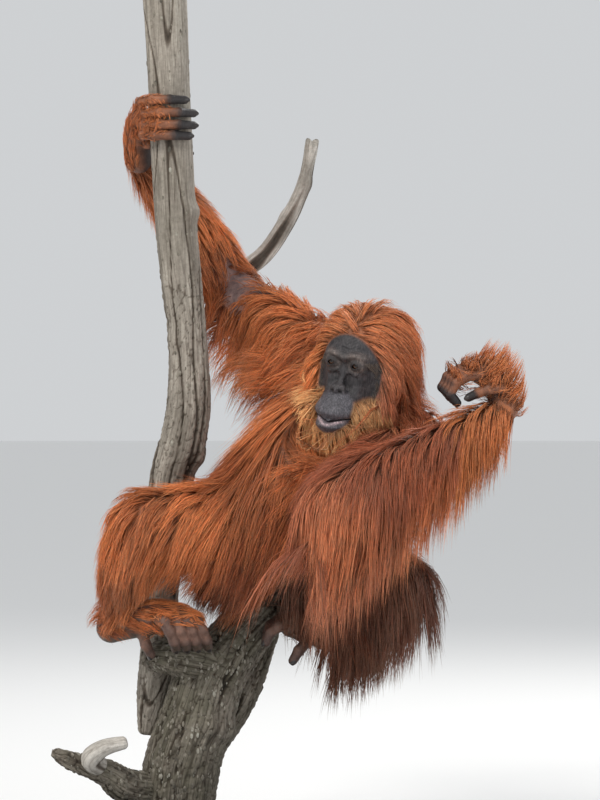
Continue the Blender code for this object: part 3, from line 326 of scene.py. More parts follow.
def joined(target, pieces):  # one closed skin from closed pieces
    group = bpy.data.collections.new("pieces")
    bpy.context.scene.collection.children.link(group)
    for piece in pieces:
        bpy.context.scene.collection.objects.unlink(piece)
        group.objects.link(piece)
    modifier = target.modifiers.new("join", "BOOLEAN")
    modifier.operation = "UNION"
    modifier.operand_type = "COLLECTION"
    modifier.collection = group
    modifier.solver = "MANIFOLD"
    settle(target)
    for piece in pieces:
        bpy.data.objects.remove(piece)
    bpy.data.collections.remove(group)


def vertexArray(mesh):
    co = np.zeros(len(mesh.vertices) * 3, np.float32)
    mesh.vertices.foreach_get("co", co)
    return co.reshape(-1, 3).astype(float)


def setAttribute(mesh, name, kind, values):
    layer = mesh.attributes.new(name, kind, "POINT")
    key = "value" if kind == "FLOAT" else "color" if kind == "FLOAT_COLOR" else "vector"
    values = np.asarray(values, np.float32)
    if kind == "FLOAT_COLOR":
        values = np.concatenate([values, np.ones((len(values), 1), np.float32)], axis=1)
    layer.data.foreach_set(key, values.ravel())


def ripple(p, seed, scale):  # smooth irregular waves between -1 and 1
    rng = np.random.default_rng(seed)
    total = 0.0
    for _ in range(5):
        way = rng.normal(size=3)
        way = way / np.linalg.norm(way) * scale * rng.uniform(0.7, 1.4)
        total = total + np.sin(p @ way.astype(np.float32) + rng.uniform(0, 6.28))
    return total / 3.2


def wrinkles(p):  # folds of the forehead, eye bags, nose and lip, in metres of depth
    x, y, z = p[..., 0], p[..., 1], p[..., 2]
    front = np.clip((y + 0.045) / 0.03, 0.0, 1.0)
    warp = ripple(p, 3, 120) * 2.2 + ripple(p, 4, 260) * 0.9
    patchy = np.clip(0.55 + 0.75 * ripple(p, 5, 140), 0.0, 1.0)
    brow = np.clip((z - 0.016) / 0.010, 0, 1) * np.clip((0.058 - z) / 0.020, 0, 1)
    brow = brow * np.exp(-(x / 0.036) ** 2)
    crease = np.abs(np.sin((x * 0.80 - z * 0.60) * 620 + warp)) ** 0.6
    fold = brow * patchy * (1.0 - crease) * 0.0016
    crease = np.abs(np.sin((x * 0.35 + z * 0.94) * 560 + warp * 1.2)) ** 0.6
    fold = fold + brow * (1.0 - patchy) * (1.0 - crease) * 0.0009
    for side in (-1.0, 1.0):
        reach = np.sqrt(((x - side * 0.0235) / 1.25) ** 2 + (z + 0.001) ** 2) + 0.0006 * ripple(p, 7, 300)
        around = np.clip((reach - 0.0125) / 0.002, 0, 1) * np.clip((0.0235 - reach) / 0.008, 0, 1)
        below = np.clip((0.004 - z) / 0.008, 0, 1) * 0.8 + 0.2
        fold = fold + around * below * (1.0 - np.abs(np.sin(reach * 980)) ** 0.6) * 0.0010
    nose = np.exp(-((z + 0.024) / 0.010) ** 2) * np.exp(-(x / 0.026) ** 2)
    fold = fold + nose * (1.0 - np.abs(np.sin(z * 780 + np.abs(x) * 420 + warp * 0.5)) ** 0.6) * 0.0008
    lip = np.exp(-((z + 0.070) / 0.015) ** 2) * np.exp(-(x / 0.030) ** 2)
    fold = fold + lip * patchy * (1.0 - np.abs(np.sin(x * 560 + warp * 0.7)) ** 0.5) * 0.0007
    return fold * front


def mouthLine(x):  # height of the closed lips' line, in the head's frame
    return -0.0925 + 5.0 * x ** 2 - 0.0016 * np.cos(x * 150.0)


def makeHeadSkin():
    half = face["eyeSpacing"] / 2
    step = face["step"] * 1.0
    grid = makeGrid((-0.090, -0.178, -0.166), (0.090, 0.064, 0.098), step)
    ball(grid, (0, -0.086, 0.014), (0.068, 0.082, 0.070), 0.0001)
    ball(grid, (0, -0.036, -0.030), (0.053, 0.040, 0.066), 0.020)
    ball(grid, (0, -0.006, -0.079), (0.040, 0.042, 0.036), 0.024)
    ball(grid, (0, -0.055, -0.098), (0.052, 0.052, 0.040), 0.025)
    ball(grid, (0, 0.010, -0.112), (0.030, 0.034, 0.018), 0.016)
    ball(grid, (0, -0.070, -0.118), (0.054, 0.048, 0.038), 0.020)
    ball(grid, (0, 0.004, -0.018), (0.018, 0.010, 0.026), 0.014, cut=True)  # dished between brow and muzzle
    for side in (-1.0, 1.0):
        ear = (side * 0.070, -0.088, -0.006)
        ball(grid, ear, (0.0075, 0.010, 0.017), 0.003)
        ball(grid, (side * 0.076, -0.084, -0.006), (0.0055, 0.0065, 0.0125), 0.0015, cut=True)
        ridge = [(side * 0.058, -0.050, 0.018), (side * 0.067, -0.040, -0.022), (side * 0.061, -0.030, -0.060),
                 (side * 0.048, -0.020, -0.094)]
        chain(grid, ridge, (0.006, 0.0095, 0.0100, 0.0060), 0.014, inner=0.008)
        ball(grid, (side * 0.045, 0.001, -0.040), (0.0080, 0.017, 0.032), 0.010, cut=True)
        ball(grid, (side * half, 0.012, 0.000), (0.0175, 0.0190, 0.0130), 0.007, cut=True)
        brow = [(side * 0.004, 0.001, 0.0115), (side * 0.020, 0.001, 0.0170), (side * 0.034, -0.007, 0.0130),
                (side * 0.041, -0.016, 0.0020)]
        chain(grid, brow, (0.0046, 0.0052, 0.0048, 0.0034), 0.009)
        ball(grid, (side * half, -0.0075, 0.0), (0.0142, 0.0138, 0.0132), 0.003)
        pouch = [(side * 0.011, -0.002, -0.0125), (side * 0.024, -0.002, -0.0150),
                 (side * 0.035, -0.010, -0.0110)]
        chain(grid, pouch, (0.0022, 0.0034, 0.0024), 0.006)
        lid = [(side * (half - 0.0085), 0.000, -0.0012), (side * half, 0.0040, -0.0002),
               (side * (half + 0.0085), -0.001, 0.0002)]
        chain(grid, lid, (0.0016, 0.0039, 0.0016), 0.0008, cut=True)
        ball(grid, (side * half, -0.0075, 0.0), (face["eyeRadius"] + 0.0003,) * 3, 0.0002, cut=True)
    chain(grid, [(0, -0.010, 0.004), (0, -0.001, -0.018), (0, 0.009, -0.036)], (0.0050, 0.0042, 0.0050), 0.012)
    ball(grid, (0, 0.0165, -0.0425), (0.0070, 0.0080, 0.0060), 0.006)
    for side in (-1.0, 1.0):
        rim = [(side * 0.0035, 0.0155, -0.0375), (side * 0.0098, 0.0135, -0.0385),
               (side * 0.0120, 0.0140, -0.0455)]
        chain(grid, rim, (0.0030, 0.0036, 0.0030), 0.006, inner=0.003)
        hole = [(side * 0.0050, 0.0235, -0.0430), (side * 0.0085, 0.0205, -0.0465)]
        chain(grid, hole, (0.0030, 0.0036), 0.0015, cut=True)
    ball(grid, (0, 0.010, -0.079), (0.036, 0.033, 0.0135), 0.010)
    ball(grid, (0, 0.018, -0.1020), (0.029, 0.031, 0.0085), 0.006)
    lowerLip = [(-0.021, 0.028, -0.0965), (0, 0.0405, -0.0985), (0.021, 0.028, -0.0965)]
    chain(grid, lowerLip, (0.0042, 0.0056, 0.0042), 0.004)
    p = grid["p"]
    front = areaOf(grid, (-0.09, -0.046, -0.166), (0.09, 0.064, 0.098))
    grid["body"][front] += wrinkles(p[front])
    body = grid["body"][front]
    x, y, z = p[front][..., 0], p[front][..., 1], p[front][..., 2]
    slot = np.maximum(np.abs(z - mouthLine(x)) - 0.0013, np.abs(x) - 0.034)
    slot = np.maximum(slot, -(body + 0.0065))
    slot = np.maximum(slot, -y - 0.004)
    grid["body"][front] = softCut(body, slot, 0.0012)
    verts, faces = levelSurface(grid["body"], grid["low"], step)
    head = meshFrom("headSkin", fromHead(verts), faces)
    smoothed(head, 0.5, 2)
    thinned(head, face["triangles"])
    return head


# hands and feet, as chains of tapered bars
digitSize = {"finger": 0.0095, "toe": 0.0105}


def handRightParts():
    palm = [(-0.283, 0.126, 1.196, 0.024), (-0.284, 0.102, 1.225, 0.023), (-0.281, 0.076, 1.250, 0.022),
            (-0.276, 0.052, 1.262, 0.018)]
    digits = []
    for k, height in enumerate((1.292, 1.270, 1.249, 1.230)):
        pole = poleAt(height)
        reach = pole[3] + digitSize["finger"] + 0.0012
        sweep = (136, 160, 158, 142)[k]
        path = []
        for i in range(5):
            t = i / 4.0
            angle = math.radians(170.0 + sweep * t)
            lift = (height - 1.262) * (0.62 + 0.38 * min(1.0, t * 3.0)) + 1.262
            spread = reach + 0.006 * (1.0 - t)
            path.append(Vector((pole[0] + spread * math.cos(angle), pole[1] + spread * math.sin(angle), lift)))
        digits.append((path, digitSize["finger"], Vector((math.cos(angle), math.sin(angle), 0.0))))
    pole = poleAt(1.215)
    reach = pole[3] + digitSize["finger"] + 0.002
    thumb = []
    for i in range(5):
        angle = math.radians(150.0 - 24.0 * i)
        thumb.append(Vector((pole[0] + reach * math.cos(angle), pole[1] + reach * math.sin(angle),
                             1.222 - 0.004 * i)))
    digits.append((thumb, digitSize["finger"], Vector((math.cos(angle), math.sin(angle), 0.0))))
    return palm, digits


def handLeftParts():
    palm = [(0.344, -0.106, 0.760, 0.025), (0.338, -0.100, 0.790, 0.023), (0.322, -0.094, 0.812, 0.022),
            (0.300, -0.088, 0.822, 0.018)]
    digits = []
    for k in range(4):
        start = Vector((0.300, -0.088, 0.820)) + Vector((-0.004, 0.020, 0.004)) * (k - 1.5)
        steps = ((0, 0, 0), (-0.022, -0.002, 0.000), (-0.043, -0.004, -0.012), (-0.052, -0.004, -0.030),
                 (-0.041, -0.003, -0.045))
        digits.append(([start + Vector(s) for s in steps], digitSize["finger"], Vector((-0.3, 0.0, -1.0))))
    thumb = [Vector(v) for v in ((0.338, -0.128, 0.792), (0.318, -0.134, 0.792), (0.300, -0.132, 0.786),
                                 (0.284, -0.128, 0.778))]
    digits.append((thumb, digitSize["finger"], Vector((0.0, -1.0, 0.2))))
    return palm, digits


def footRightParts():
    sole = [(-0.322, -0.040, 0.385, 0.026), (-0.290, -0.056, 0.397, 0.030), (-0.250, -0.074, 0.405, 0.030),
            (-0.215, -0.084, 0.405, 0.025), (-0.190, -0.088, 0.400, 0.020)]
    digits = []
    for k in range(4):
        start = Vector((-0.236 + 0.018 * k, -0.112 + 0.011 * k, 0.404))
        steps = ((0, 0, 0), (0.008, -0.014, -0.004), (0.017, -0.018, -0.020), (0.024, -0.010, -0.038),
                 (0.026, 0.004, -0.050))
        digits.append(([start + Vector(s) for s in steps], digitSize["toe"], Vector((0.2, -1.0, -0.3))))
    great = [Vector(v) for v in ((-0.268, -0.070, 0.378), (-0.262, -0.068, 0.358), (-0.254, -0.060, 0.340))]
    digits.append((great, digitSize["toe"], Vector((-0.6, -0.7, 0.0))))
    return sole, digits


def footLeftParts():
    sole = [(0.078, -0.002, 0.362, 0.025), (0.050, -0.006, 0.372, 0.029), (0.016, -0.014, 0.382, 0.027),
            (-0.014, -0.022, 0.388, 0.021)]
    digits = []
    for k in range(4):
        start = Vector((-0.018, -0.050 + 0.016 * k, 0.388 + 0.003 * k))
        steps = ((0, 0, 0), (-0.018, -0.006, 0.000), (-0.033, -0.010, -0.010), (-0.040, -0.012, -0.027))
        digits.append(([start + Vector(s) for s in steps], digitSize["toe"], Vector((-0.7, -0.6, 0.3))))
    great = [Vector(v) for v in ((0.012, -0.026, 0.360), (-0.002, -0.030, 0.345), (-0.012, -0.030, 0.328))]
    digits.append((great, digitSize["toe"], Vector((0.4, -0.9, 0.0))))
    return sole, digits


hands = {
    "hand_right": handRightParts(),
    "hand_left": handLeftParts(),
    "foot_right": footRightParts(),
    "foot_left": footLeftParts(),
}


def tipFrame(path, outward):  # end of a digit, the way it points and the way its nail faces
    tip = path[-1]
    along = (tip - path[-2]).normalized()
    return tip, along, (outward - along * outward.dot(along)).normalized()


handSkin = {"step": 0.0019, "margin": 0.040, "triangles": 13000}


def makeHandSkin(label):
    palm, digits = hands[label]
    everything = np.array([row[:3] for row in palm] + [tuple(v) for path, _, _ in digits for v in path])
    step = handSkin["step"] * 1.0
    grid = makeGrid(everything.min(0) - handSkin["margin"], everything.max(0) + handSkin["margin"], step)
    chain(grid, [row[:3] for row in palm], [row[3] for row in palm], 0.0001)
    for path, radius, _ in digits:
        wide = [radius * (1.0 - 0.20 * i / (len(path) - 1)) for i in range(len(path))]
        chain(grid, path, [w * 0.95 for w in wide], 0.005)
        for point, w in list(zip(path, wide))[:-1]:
            ball(grid, tuple(point), (w * 1.03,) * 3, 0.003)
    for path, radius, outward in digits:  # creases inside the joints, and the seat of the nail
        for before, point, after in zip(path, path[1:], path[2:]):
            bend = ((before - point).normalized() + (after - point).normalized())
            if bend.length > 0.1:
                inner = point + bend.normalized() * radius * 1.05
                ball(grid, tuple(inner), (radius * 0.28,) * 3, 0.002, cut=True)
        tip, along, up = tipFrame(path, outward)
        ball(grid, tuple(tip + up * radius * 0.95 + along * 0.002), (radius * 0.42,) * 3, 0.002, cut=True)
    verts, faces = levelSurface(grid["body"], grid["low"], grid["step"])
    piece = meshFrom(label + "Skin", verts, faces)
    smoothed(piece, 0.5, 2)
    thinned(piece, handSkin["triangles"])
    return piece


# skin of trunk and limbs
trunk = {"step": 0.0055, "margin": 0.14, "inset": 0.009, "chestInset": 0.015, "throatInset": 0.034,
         "neckInset": 0.022, "blend": 0.022, "triangles": 45000}


def makeBodySkin():
    rows = [row for spine in spines.values() for row in spine]
    low = [min(r[m] for r in rows) - trunk["margin"] for m in range(3)]
    high = [max(r[m] for r in rows) + trunk["margin"] for m in range(3)]
    grid = makeGrid(low, high, trunk["step"])
    for label, spine in spines.items():
        radii = []
        for i, row in enumerate(spine):
            inset = trunk["inset"]
            if label == "torso":
                inset = trunk["chestInset"] if i < 5 else trunk["throatInset"]
            if label == "neck":
                inset = trunk["neckInset"]
            radii.append((row[3] + row[4]) / 2 - inset)
        chain(grid, spine, radii, trunk["blend"])
    ball(grid, fromHead((0, 0.045, -0.122)), (0.066, 0.066, 0.066), 0.012, cut=True)  # hollow under the chin
    verts, faces = levelSurface(grid["body"], grid["low"], grid["step"])
    piece = meshFrom("bodySkin", verts, faces)
    smoothed(piece, 0.5, 3)
    thinned(piece, trunk["triangles"])
    return piece


skin = makeBodySkin()
report("trunk and limbs")
extras = [makeHeadSkin()]
report("head")
extras += [makeHandSkin(label) for label in hands]
report("hands and feet")
joined(skin, extras)
skin.name = "orangutanSkin"
print("skin triangles", sum(len(q.vertices) - 2 for q in skin.data.polygons))


# eyes and nails
def roundFaces(base, rings, around):  # a ball's faces: rows of four corners, then a fan at each pole
    faces = []
    for j in range(rings - 2):
        row, after = base + j * around, base + (j + 1) * around
        for i in range(around):
            n = (i + 1) % around
            faces.append((row + i, row + n, after + n, after + i))
    pole, last = base + (rings - 1) * around, base + (rings - 2) * around
    for i in range(around):
        faces.append((pole, base + (i + 1) % around, base + i))
        faces.append((pole + 1, last + i, last + (i + 1) % around))
    return faces


eyes = {"radius": face["eyeRadius"], "rings": 40, "around": 48, "bulge": 0.05, "bulgeEnd": 0.62,
        "gaze": Vector((-0.38, -0.92, -0.06)).normalized()}


def makeEyes():
    verts, faces, turn = [], [], []
    gaze = eyes["gaze"]
    side = gaze.cross(Vector((0, 0, 1))).normalized()
    up = side.cross(gaze)
    rings, around = eyes["rings"], eyes["around"]
    for sign in (-1.0, 1.0):
        centre = Vector(fromHead((sign * face["eyeSpacing"] / 2, -0.0075, 0.0)))
        faces += roundFaces(len(verts), rings, around)
        for j in range(1, rings):
            angle = math.pi * j / rings
            bulge = 1.0 + eyes["bulge"] * max(0.0, 1.0 - (angle / eyes["bulgeEnd"]) ** 2)
            for i in range(around):
                lon = 2 * math.pi * i / around
                way = gaze * math.cos(angle) + (side * math.cos(lon) + up * math.sin(lon)) * math.sin(angle)
                verts.append(centre + way * eyes["radius"] * bulge)
                turn.append(angle)
        verts += [centre + gaze * eyes["radius"] * (1.0 + eyes["bulge"]), centre - gaze * eyes["radius"]]
        turn += [0.0, math.pi]
    thing = meshFrom("eyes", verts, faces)
    setAttribute(thing.data, "gazeAngle", "FLOAT", turn)
    return thing


nails = {"length": 0.0140, "wide": 0.60, "thick": 0.30, "lift": 0.60, "rings": 12, "around": 20}


def makeNails():
    verts, faces = [], []
    rings, around = nails["rings"], nails["around"]
    for _, digits in hands.values():
        for path, radius, outward in digits:
            small = radius * 0.82
            tip, along, up = tipFrame(path, outward)
            side = along.cross(up)
            centre = tip + up * small * nails["lift"] + along * small * 0.12
            faces += roundFaces(len(verts), rings, around)
            for j in range(1, rings):
                lat = math.pi * j / rings - math.pi / 2
                for i in range(around):
                    lon = 2 * math.pi * i / around
                    squared = abs(math.cos(lat) * math.cos(lon)) ** 0.8
                    a = math.copysign(squared, math.cos(lon)) * nails["length"] / 2
                    b = math.cos(lat) * math.sin(lon) * small * nails["wide"]
                    c = math.sin(lat) * small * nails["thick"] - (b / small) ** 2 * small * 0.30
                    verts.append(centre + along * a + side * b + up * c)
            verts += [centre - up * small * nails["thick"], centre + up * small * nails["thick"]]
    return meshFrom("nails", verts, faces)


eyePiece = makeEyes()
nailPiece = makeNails()
report("eyes and nails")


# wood: each length is a fine tube with grooves, cracks and bark
woodKeys = ("sides", "rings", "groove", "bark", "crack", "barkTop", "seed")
woodLook = {label: dict(zip(woodKeys, values)) for label, values in {
    "perch_pole": (96, 420, 0.0022, 0.0011, 0.0060, 1.03, 3),
    "perch_bough": (110, 300, 0.0034, 0.0024, 0.0090, 0.47, 11),
    "perch_side_branch": (48, 260, 0.0014, 0.0006, 0.0030, 0.0, 19),
    "perch_burl": (64, 90, 0.0030, 0.0026, 0.0050, 9.0, 23),
    "perch_low_stub": (64, 120, 0.0026, 0.0018, 0.0060, 9.0, 31),
    "perch_short_log": (48, 90, 0.0014, 0.0005, 0.0040, 0.0, 37),
    "perch_back_branch": (56, 120, 0.0026, 0.0022, 0.0050, 9.0, 41),
}.items()}


def curvePoint(rows, t):  # smooth curve through the rows
    place = min(max(t, 0.0), 1.0) * (len(rows) - 1)
    i = min(int(place), len(rows) - 2)
    f = place - i
    a, b, c, d = [np.array(rows[min(max(i + o, 0), len(rows) - 1)], float) for o in (-1, 0, 1, 2)]
    return 0.5 * (2 * b + (c - a) * f + (2 * a - 5 * b + 4 * c - d) * f * f + (3 * b - a - 3 * c + d) * f ** 3)


knots = {  # place along the wood, angle round it, height
    "perch_side_branch": [(0.30, 0.4, 0.007), (0.52, 2.9, 0.005), (0.66, 0.9, 0.007), (0.80, 4.4, 0.006),
                          (0.90, 1.6, 0.005)],
    "perch_pole": [(0.30, 5.4, 0.007), (0.47, 1.0, 0.005), (0.62, 5.0, 0.006)],
    "perch_bough": [(0.22, 0.6, 0.010), (0.38, 5.6, 0.008), (0.55, 0.2, 0.008)],
}


def makeWood(label):
    look = woodLook[label]
    rows = woods[label]
    count = look["rings"]
    spine = np.array([curvePoint(rows, i / (count - 1)) for i in range(count)])
    run = np.concatenate([[0.0], np.cumsum(np.linalg.norm(np.diff(spine[:, :3], axis=0), axis=1))])
    verts, faces, grain, depth = [], [], [], []
    front = Vector((0.3, -1.0, 0.1))
    seed = look["seed"] * 7.31
    for i in range(count):
        along = Vector(spine[min(i + 1, count - 1), :3] - spine[max(i - 1, 0), :3]).normalized()
        front = (front - along * front.dot(along)).normalized()
        across = along.cross(front)
        ends = min(run[i], run[-1] - run[i])
        radius = spine[i, 3] * (1.0 - 0.35 * max(0.0, 1.0 - ends / 0.006) ** 2)
        if label == "perch_side_branch":  # keeps its thickness to the broken tip
            radius = max(radius, 0.0125)
        barky = min(max((look["barkTop"] - spine[i, 2]) / 0.06, 0.0), 1.0)
        for k in range(look["sides"]):
            angle = 2 * math.pi * k / look["sides"]
            ca, sa = math.cos(angle), math.sin(angle)
            q = Vector((ca * spine[i, 3] * 60, sa * spine[i, 3] * 60, run[i] * 5.0 + seed))
            long = noise.noise(q) + 0.5 * noise.noise(q * 2.3 + Vector((5, 1, 0)))
            q = Vector((ca * spine[i, 3] * 28, sa * spine[i, 3] * 28, run[i] * 3.2 + seed * 2))
            split = abs(noise.noise(q))
            fissure = max(0.0, 1.0 - split / 0.055)
            q = Vector((ca * spine[i, 3] * 190, sa * spine[i, 3] * 190, run[i] * 95 + seed))
            rough = noise.noise(q) + 0.6 * noise.noise(q * 2.1)
            plates = max(0.0, 1.0 - abs(noise.noise(q * 0.45 + Vector((9, 0, 3)))) / 0.10)
            lift = look["groove"] * long * 0.6
            lift -= look["crack"] * fissure * (0.5 + 0.5 * noise.noise(q * 0.03))
            lift += look["bark"] * (rough * (0.35 + 0.65 * barky) - plates * barky * 1.1)
            for t, turn, height in knots.get(label, ()):
                near = ((run[i] / run[-1] - t) * run[-1] / 0.016) ** 2
                near += ((1 - math.cos(angle - turn)) / 0.30) ** 2
                lift += height * math.exp(-near)
            place = Vector(spine[i, :3]) + (front * ca + across * sa) * (radius - look["groove"] * 0.3 + lift)
            verts.append(place)
            grain.append((ca * spine[i, 3], sa * spine[i, 3], run[i]))
            scab = 0.55 * max(0.0, noise.noise(q * 0.16)) if label == "perch_side_branch" else 0.0
            depth.append(min(1.0, fissure + 0.6 * plates * barky + scab))
    sides = look["sides"]
    for i in range(count - 1):
        for k in range(sides):
            n, low, high = (k + 1) % sides, i * sides, (i + 1) * sides
            faces.append((low + k, low + n, high + n, high + k))
    for i, sign in ((0, -1.0), (count - 1, 1.0)):
        ring = list(range(i * sides, (i + 1) * sides))
        centre = Vector(spine[i, :3])
        jag = 0.004 if label in ("perch_side_branch", "perch_low_stub") else 0.0012
        outward = Vector(spine[i, :3] - spine[i - int(sign), :3]).normalized()
        if label == "perch_side_branch" and sign > 0.0:  # two prongs with a notch between them
            for n, k in enumerate(ring):
                verts[k] = verts[k] + outward * (0.013 * abs(math.cos(2 * math.pi * n / sides)) ** 1.5)
        previous = ring
        for share in (0.66, 0.33):
            fresh = []
            for k in ring:
                spot = centre + (verts[k] - centre) * share
                bump = noise.noise(spot * 140) * jag
                fresh.append(len(verts))
                verts.append(spot + outward * bump)
                grain.append((grain[k][0] * share, grain[k][1] * share, grain[k][2]))
                depth.append(0.15)
            for k in range(sides):
                n = (k + 1) % sides
                faces.append((previous[k], previous[n], fresh[n], fresh[k]))
            previous = fresh
        pole = len(verts)
        verts.append(centre)
        grain.append((0, 0, grain[ring[0]][2]))
        depth.append(0.3)
        for k in range(sides):
            faces.append((previous[k], previous[(k + 1) % sides], pole))
    thing = meshFrom("wood" + "".join(w.capitalize() for w in label.split("_")[1:]), verts, faces)
    setAttribute(thing.data, "grain", "FLOAT_VECTOR", grain)
    setAttribute(thing.data, "crackDepth", "FLOAT", depth)
    return thing


woodPieces = {label: makeWood(label) for label in woods}
report("wood")


# coat: where hair grows, how it lies, how long and what colour it is
def unit(v):
    return v / np.maximum(np.linalg.norm(v, axis=-1, keepdims=True), 1e-9)


# tufts, greatest length, root width, rise off the skin, droop, share along the limb, fixed direction,
# and the share of its distance from the skin that a strand keeps, where it isn't the usual one
coatKeys = ("tufts", "length", "width", "rise", "droop", "along", "fall", "hug")
coat = {label: dict(zip(coatKeys, values)) for label, values in {
    "head": (8900, 0.105, 0.0015, 0.75, 0.12, 0.0, (0, 0, 0)),
    "beard": (3900, 0.048, 0.0012, 0.7, 0.14, 0.0, (0, 0, 0)),
    "neck": (1700, 0.130, 0.0019, 1.0, 0.35, -0.8, (0, 0.3, -0.6)),
    "torso": (12000, 0.170, 0.0018, 1.0, 0.22, -0.8, (-0.10, 0.0, -0.45)),
    "upper_arm_right": (6200, 0.150, 0.0017, 0.9, 0.30, 0.6, (-0.20, -0.10, -0.55)),
    "forearm_right": (5200, 0.085, 0.0014, 0.6, 0.12, -1.0, (0, 0, -0.20)),
    "upper_arm_left": (3300, 0.140, 0.0018, 0.9, 0.32, 0.6, (-0.20, 0, -0.60)),
    "forearm_left": (8100, 0.235, 0.0017, 1.0, 0.40, -0.50, (0.22, 0, -0.72)),
    "thigh_right": (3500, 0.110, 0.0017, 0.8, 0.20, 0.45, (-0.20, 0, -0.80)),
    "shin_right": (3500, 0.095, 0.0015, 0.7, 0.12, 0.9, (-0.30, 0, -0.30)),
    "thigh_left": (2500, 0.140, 0.0018, 0.9, 0.36, 0.2, (0.10, 0, -0.90)),
    "shin_left": (2300, 0.135, 0.0018, 0.9, 0.32, 0.3, (0.15, 0, -0.90)),
    "hand_right": (2300, 0.026, 0.0010, 0.16, 0.02, 0.0, (0, 0, 0)),
    "hand_left": (1700, 0.052, 0.0011, 1.3, 0.01, 0.0, (0, 0, 0), 0.9),
    "foot_right": (1700, 0.034, 0.0011, 0.18, 0.04, 0.0, (0, 0, 0)),
    "foot_left": (800, 0.030, 0.0011, 0.20, 0.06, 0.0, (0, 0, 0)),
    "facedown": (420, 0.010, 0.0005, 0.10, 0.04, 0.0, (0, 0, 0)),
}.items()}
tuftsPerGuide = 22
backs = {  # outer side of each hand and foot, and the way its hair lies
    "hand_right": ((-1.0, -0.1, 0.2), (0.1, -0.4, 0.5)),
    "hand_left": ((0.9, 0.0, 0.6), (0.75, -0.1, 0.55)),
    "foot_right": ((-0.1, -0.5, 0.9), (0.75, -0.25, -0.25)),
    "foot_left": ((0.1, -0.5, 0.9), (-0.75, -0.2, -0.3)),
}


def nearestOn(rows, points, hint):
    # distance off the tube, place along it, angle round it, and its direction
    rows = np.array(rows, float)
    best = np.full(len(points), 1e9)
    place = np.zeros(len(points))
    angle = np.zeros(len(points))
    along = np.zeros((len(points), 3))
    for i in range(len(rows) - 1):
        a, b = rows[i, :3], rows[i + 1, :3]
        t = np.clip((points - a) @ (b - a) / ((b - a) @ (b - a)), 0, 1)
        foot = a + t[:, None] * (b - a)
        off = points - foot
        radius = rows[i, 3:].mean() + (rows[i + 1, 3:].mean() - rows[i, 3:].mean()) * t
        distance = np.linalg.norm(off, axis=1) - radius
        way = (b - a) / np.linalg.norm(b - a)
        front = unit(np.array(hint, float) - way * (np.array(hint, float) @ way))
        across = np.cross(way, front)
        near = distance < best
        best[near] = distance[near]
        place[near] = (i + t[near]) / (len(rows) - 1)
        angle[near] = np.arctan2(off[near] @ across, off[near] @ front)
        along[near] = way
    return best, place, angle, along


def nearestOf(found):  # number of the nearest tube for each point, then its place, angle and direction
    which = np.stack([f[0] for f in found]).argmin(0)
    rows = np.arange(len(which))
    return [which] + [np.stack([f[m] for f in found])[which, rows] for m in (1, 2, 3)]


fingerGap = 0.004  # hands win over the limb where both are about as near


def labelled(points):  # which part of the body each point belongs to
    labels = list(spines) + list(hands)
    found = []
    for label in labels:
        if label in spines:
            found.append(nearestOn(spines[label], points, hints.get(label, (0, -1, 0))))
        else:
            palm, digits = hands[label]
            chains = [nearestOn(palm, points, (0.2, -0.9, 0.3))]
            for path, radius, _ in digits:
                chains.append(nearestOn([tuple(v) + (radius,) for v in path], points, (0.2, -0.9, 0.3)))
            which, toe, turn, way = nearestOf(chains)
            toe = np.where(which > 0, 1.0 + toe, toe)
            found.append((np.stack([c[0] for c in chains]).min(0) - fingerGap, toe, turn, way))
    which, place, angle, along = nearestOf(found)
    names = np.array(labels)[which]
    local = toHead(points)
    q = (local - np.array((0, -0.060, -0.024))) / np.array((0.078, 0.112, 0.118))
    inHead = (np.linalg.norm(q, axis=1) < 1.02) & (local[:, 2] > -0.150)
    q = (local - np.array((0, 0.0, -0.088))) / np.array((0.058, 0.070, 0.052))
    inHead |= np.linalg.norm(q, axis=1) < 1.0
    names = np.where(inHead, "head", names)
    place[inHead] = np.clip((local[inHead, 2] + 0.15) / 0.25, 0, 1)
    angle[inHead] = np.arctan2(local[inHead, 0], local[inHead, 1] + 0.09)
    return names, place, angle, along, local


def faceZones(local):  # bare face, muzzle and beard, each 0 to 1
    x, y, z = local.T
    oval = np.sqrt((x / 0.061) ** 2 + ((z + 0.026) / 0.077) ** 2)
    bare = np.clip((1.0 - oval) / 0.06, 0, 1) * np.clip((y + 0.052) / 0.008, 0, 1)
    mouth = np.sqrt((x / 0.033) ** 2 + ((z + 0.077) / 0.034) ** 2)
    muzzle = np.clip((1.10 - mouth) / 0.14, 0, 1) * np.clip((y + 0.010) / 0.012, 0, 1)
    cheek = np.clip((np.abs(x) - 0.024) / 0.02, 0, 1) * 0.010
    beard = np.clip((-0.060 - z + cheek) / 0.008, 0, 1) * np.clip((mouth - 1.0) / 0.08, 0, 1)
    beard = beard * np.clip((y + 0.055) / 0.01, 0, 1)
    beard = np.maximum(beard, np.clip((-0.110 - z) / 0.005, 0, 1) * np.clip((y + 0.045) / 0.01, 0, 1))
    bare = np.clip(bare + muzzle, 0, 1) * (1 - beard)
    return bare, muzzle, beard


palette = {  # linear colours of the coat
    # the coat's red in painted shade
    "back": (0.370, 0.088, 0.028),
    # the coat's red in painted light
    "lit": (0.860, 0.300, 0.100),
    "pink": (0.460, 0.150, 0.085),
    # painted shade, for the lower belly and the left leg
    "dark": (0.090, 0.028, 0.015),
    "gold": (0.900, 0.500, 0.220),
    "pale": (0.130, 0.108, 0.095),
}

# sparse hair inside the right elbow
thinPatch = {"place": (-0.096, 0.245, 0.985), "size": 0.066, "bare": 0.96, "shorter": 0.65,
             "hide": (0.300, 0.215, 0.205)}


def patchShare(points):
    away = np.linalg.norm(points - np.array(thinPatch["place"]), axis=1) / thinPatch["size"]
    return np.clip(1.8 - 1.5 * away, 0, 1)


def mixed(a, b, t):
    t = np.clip(t, 0, 1)[:, None]
    return np.asarray(a) * (1 - t) + np.asarray(b) * t
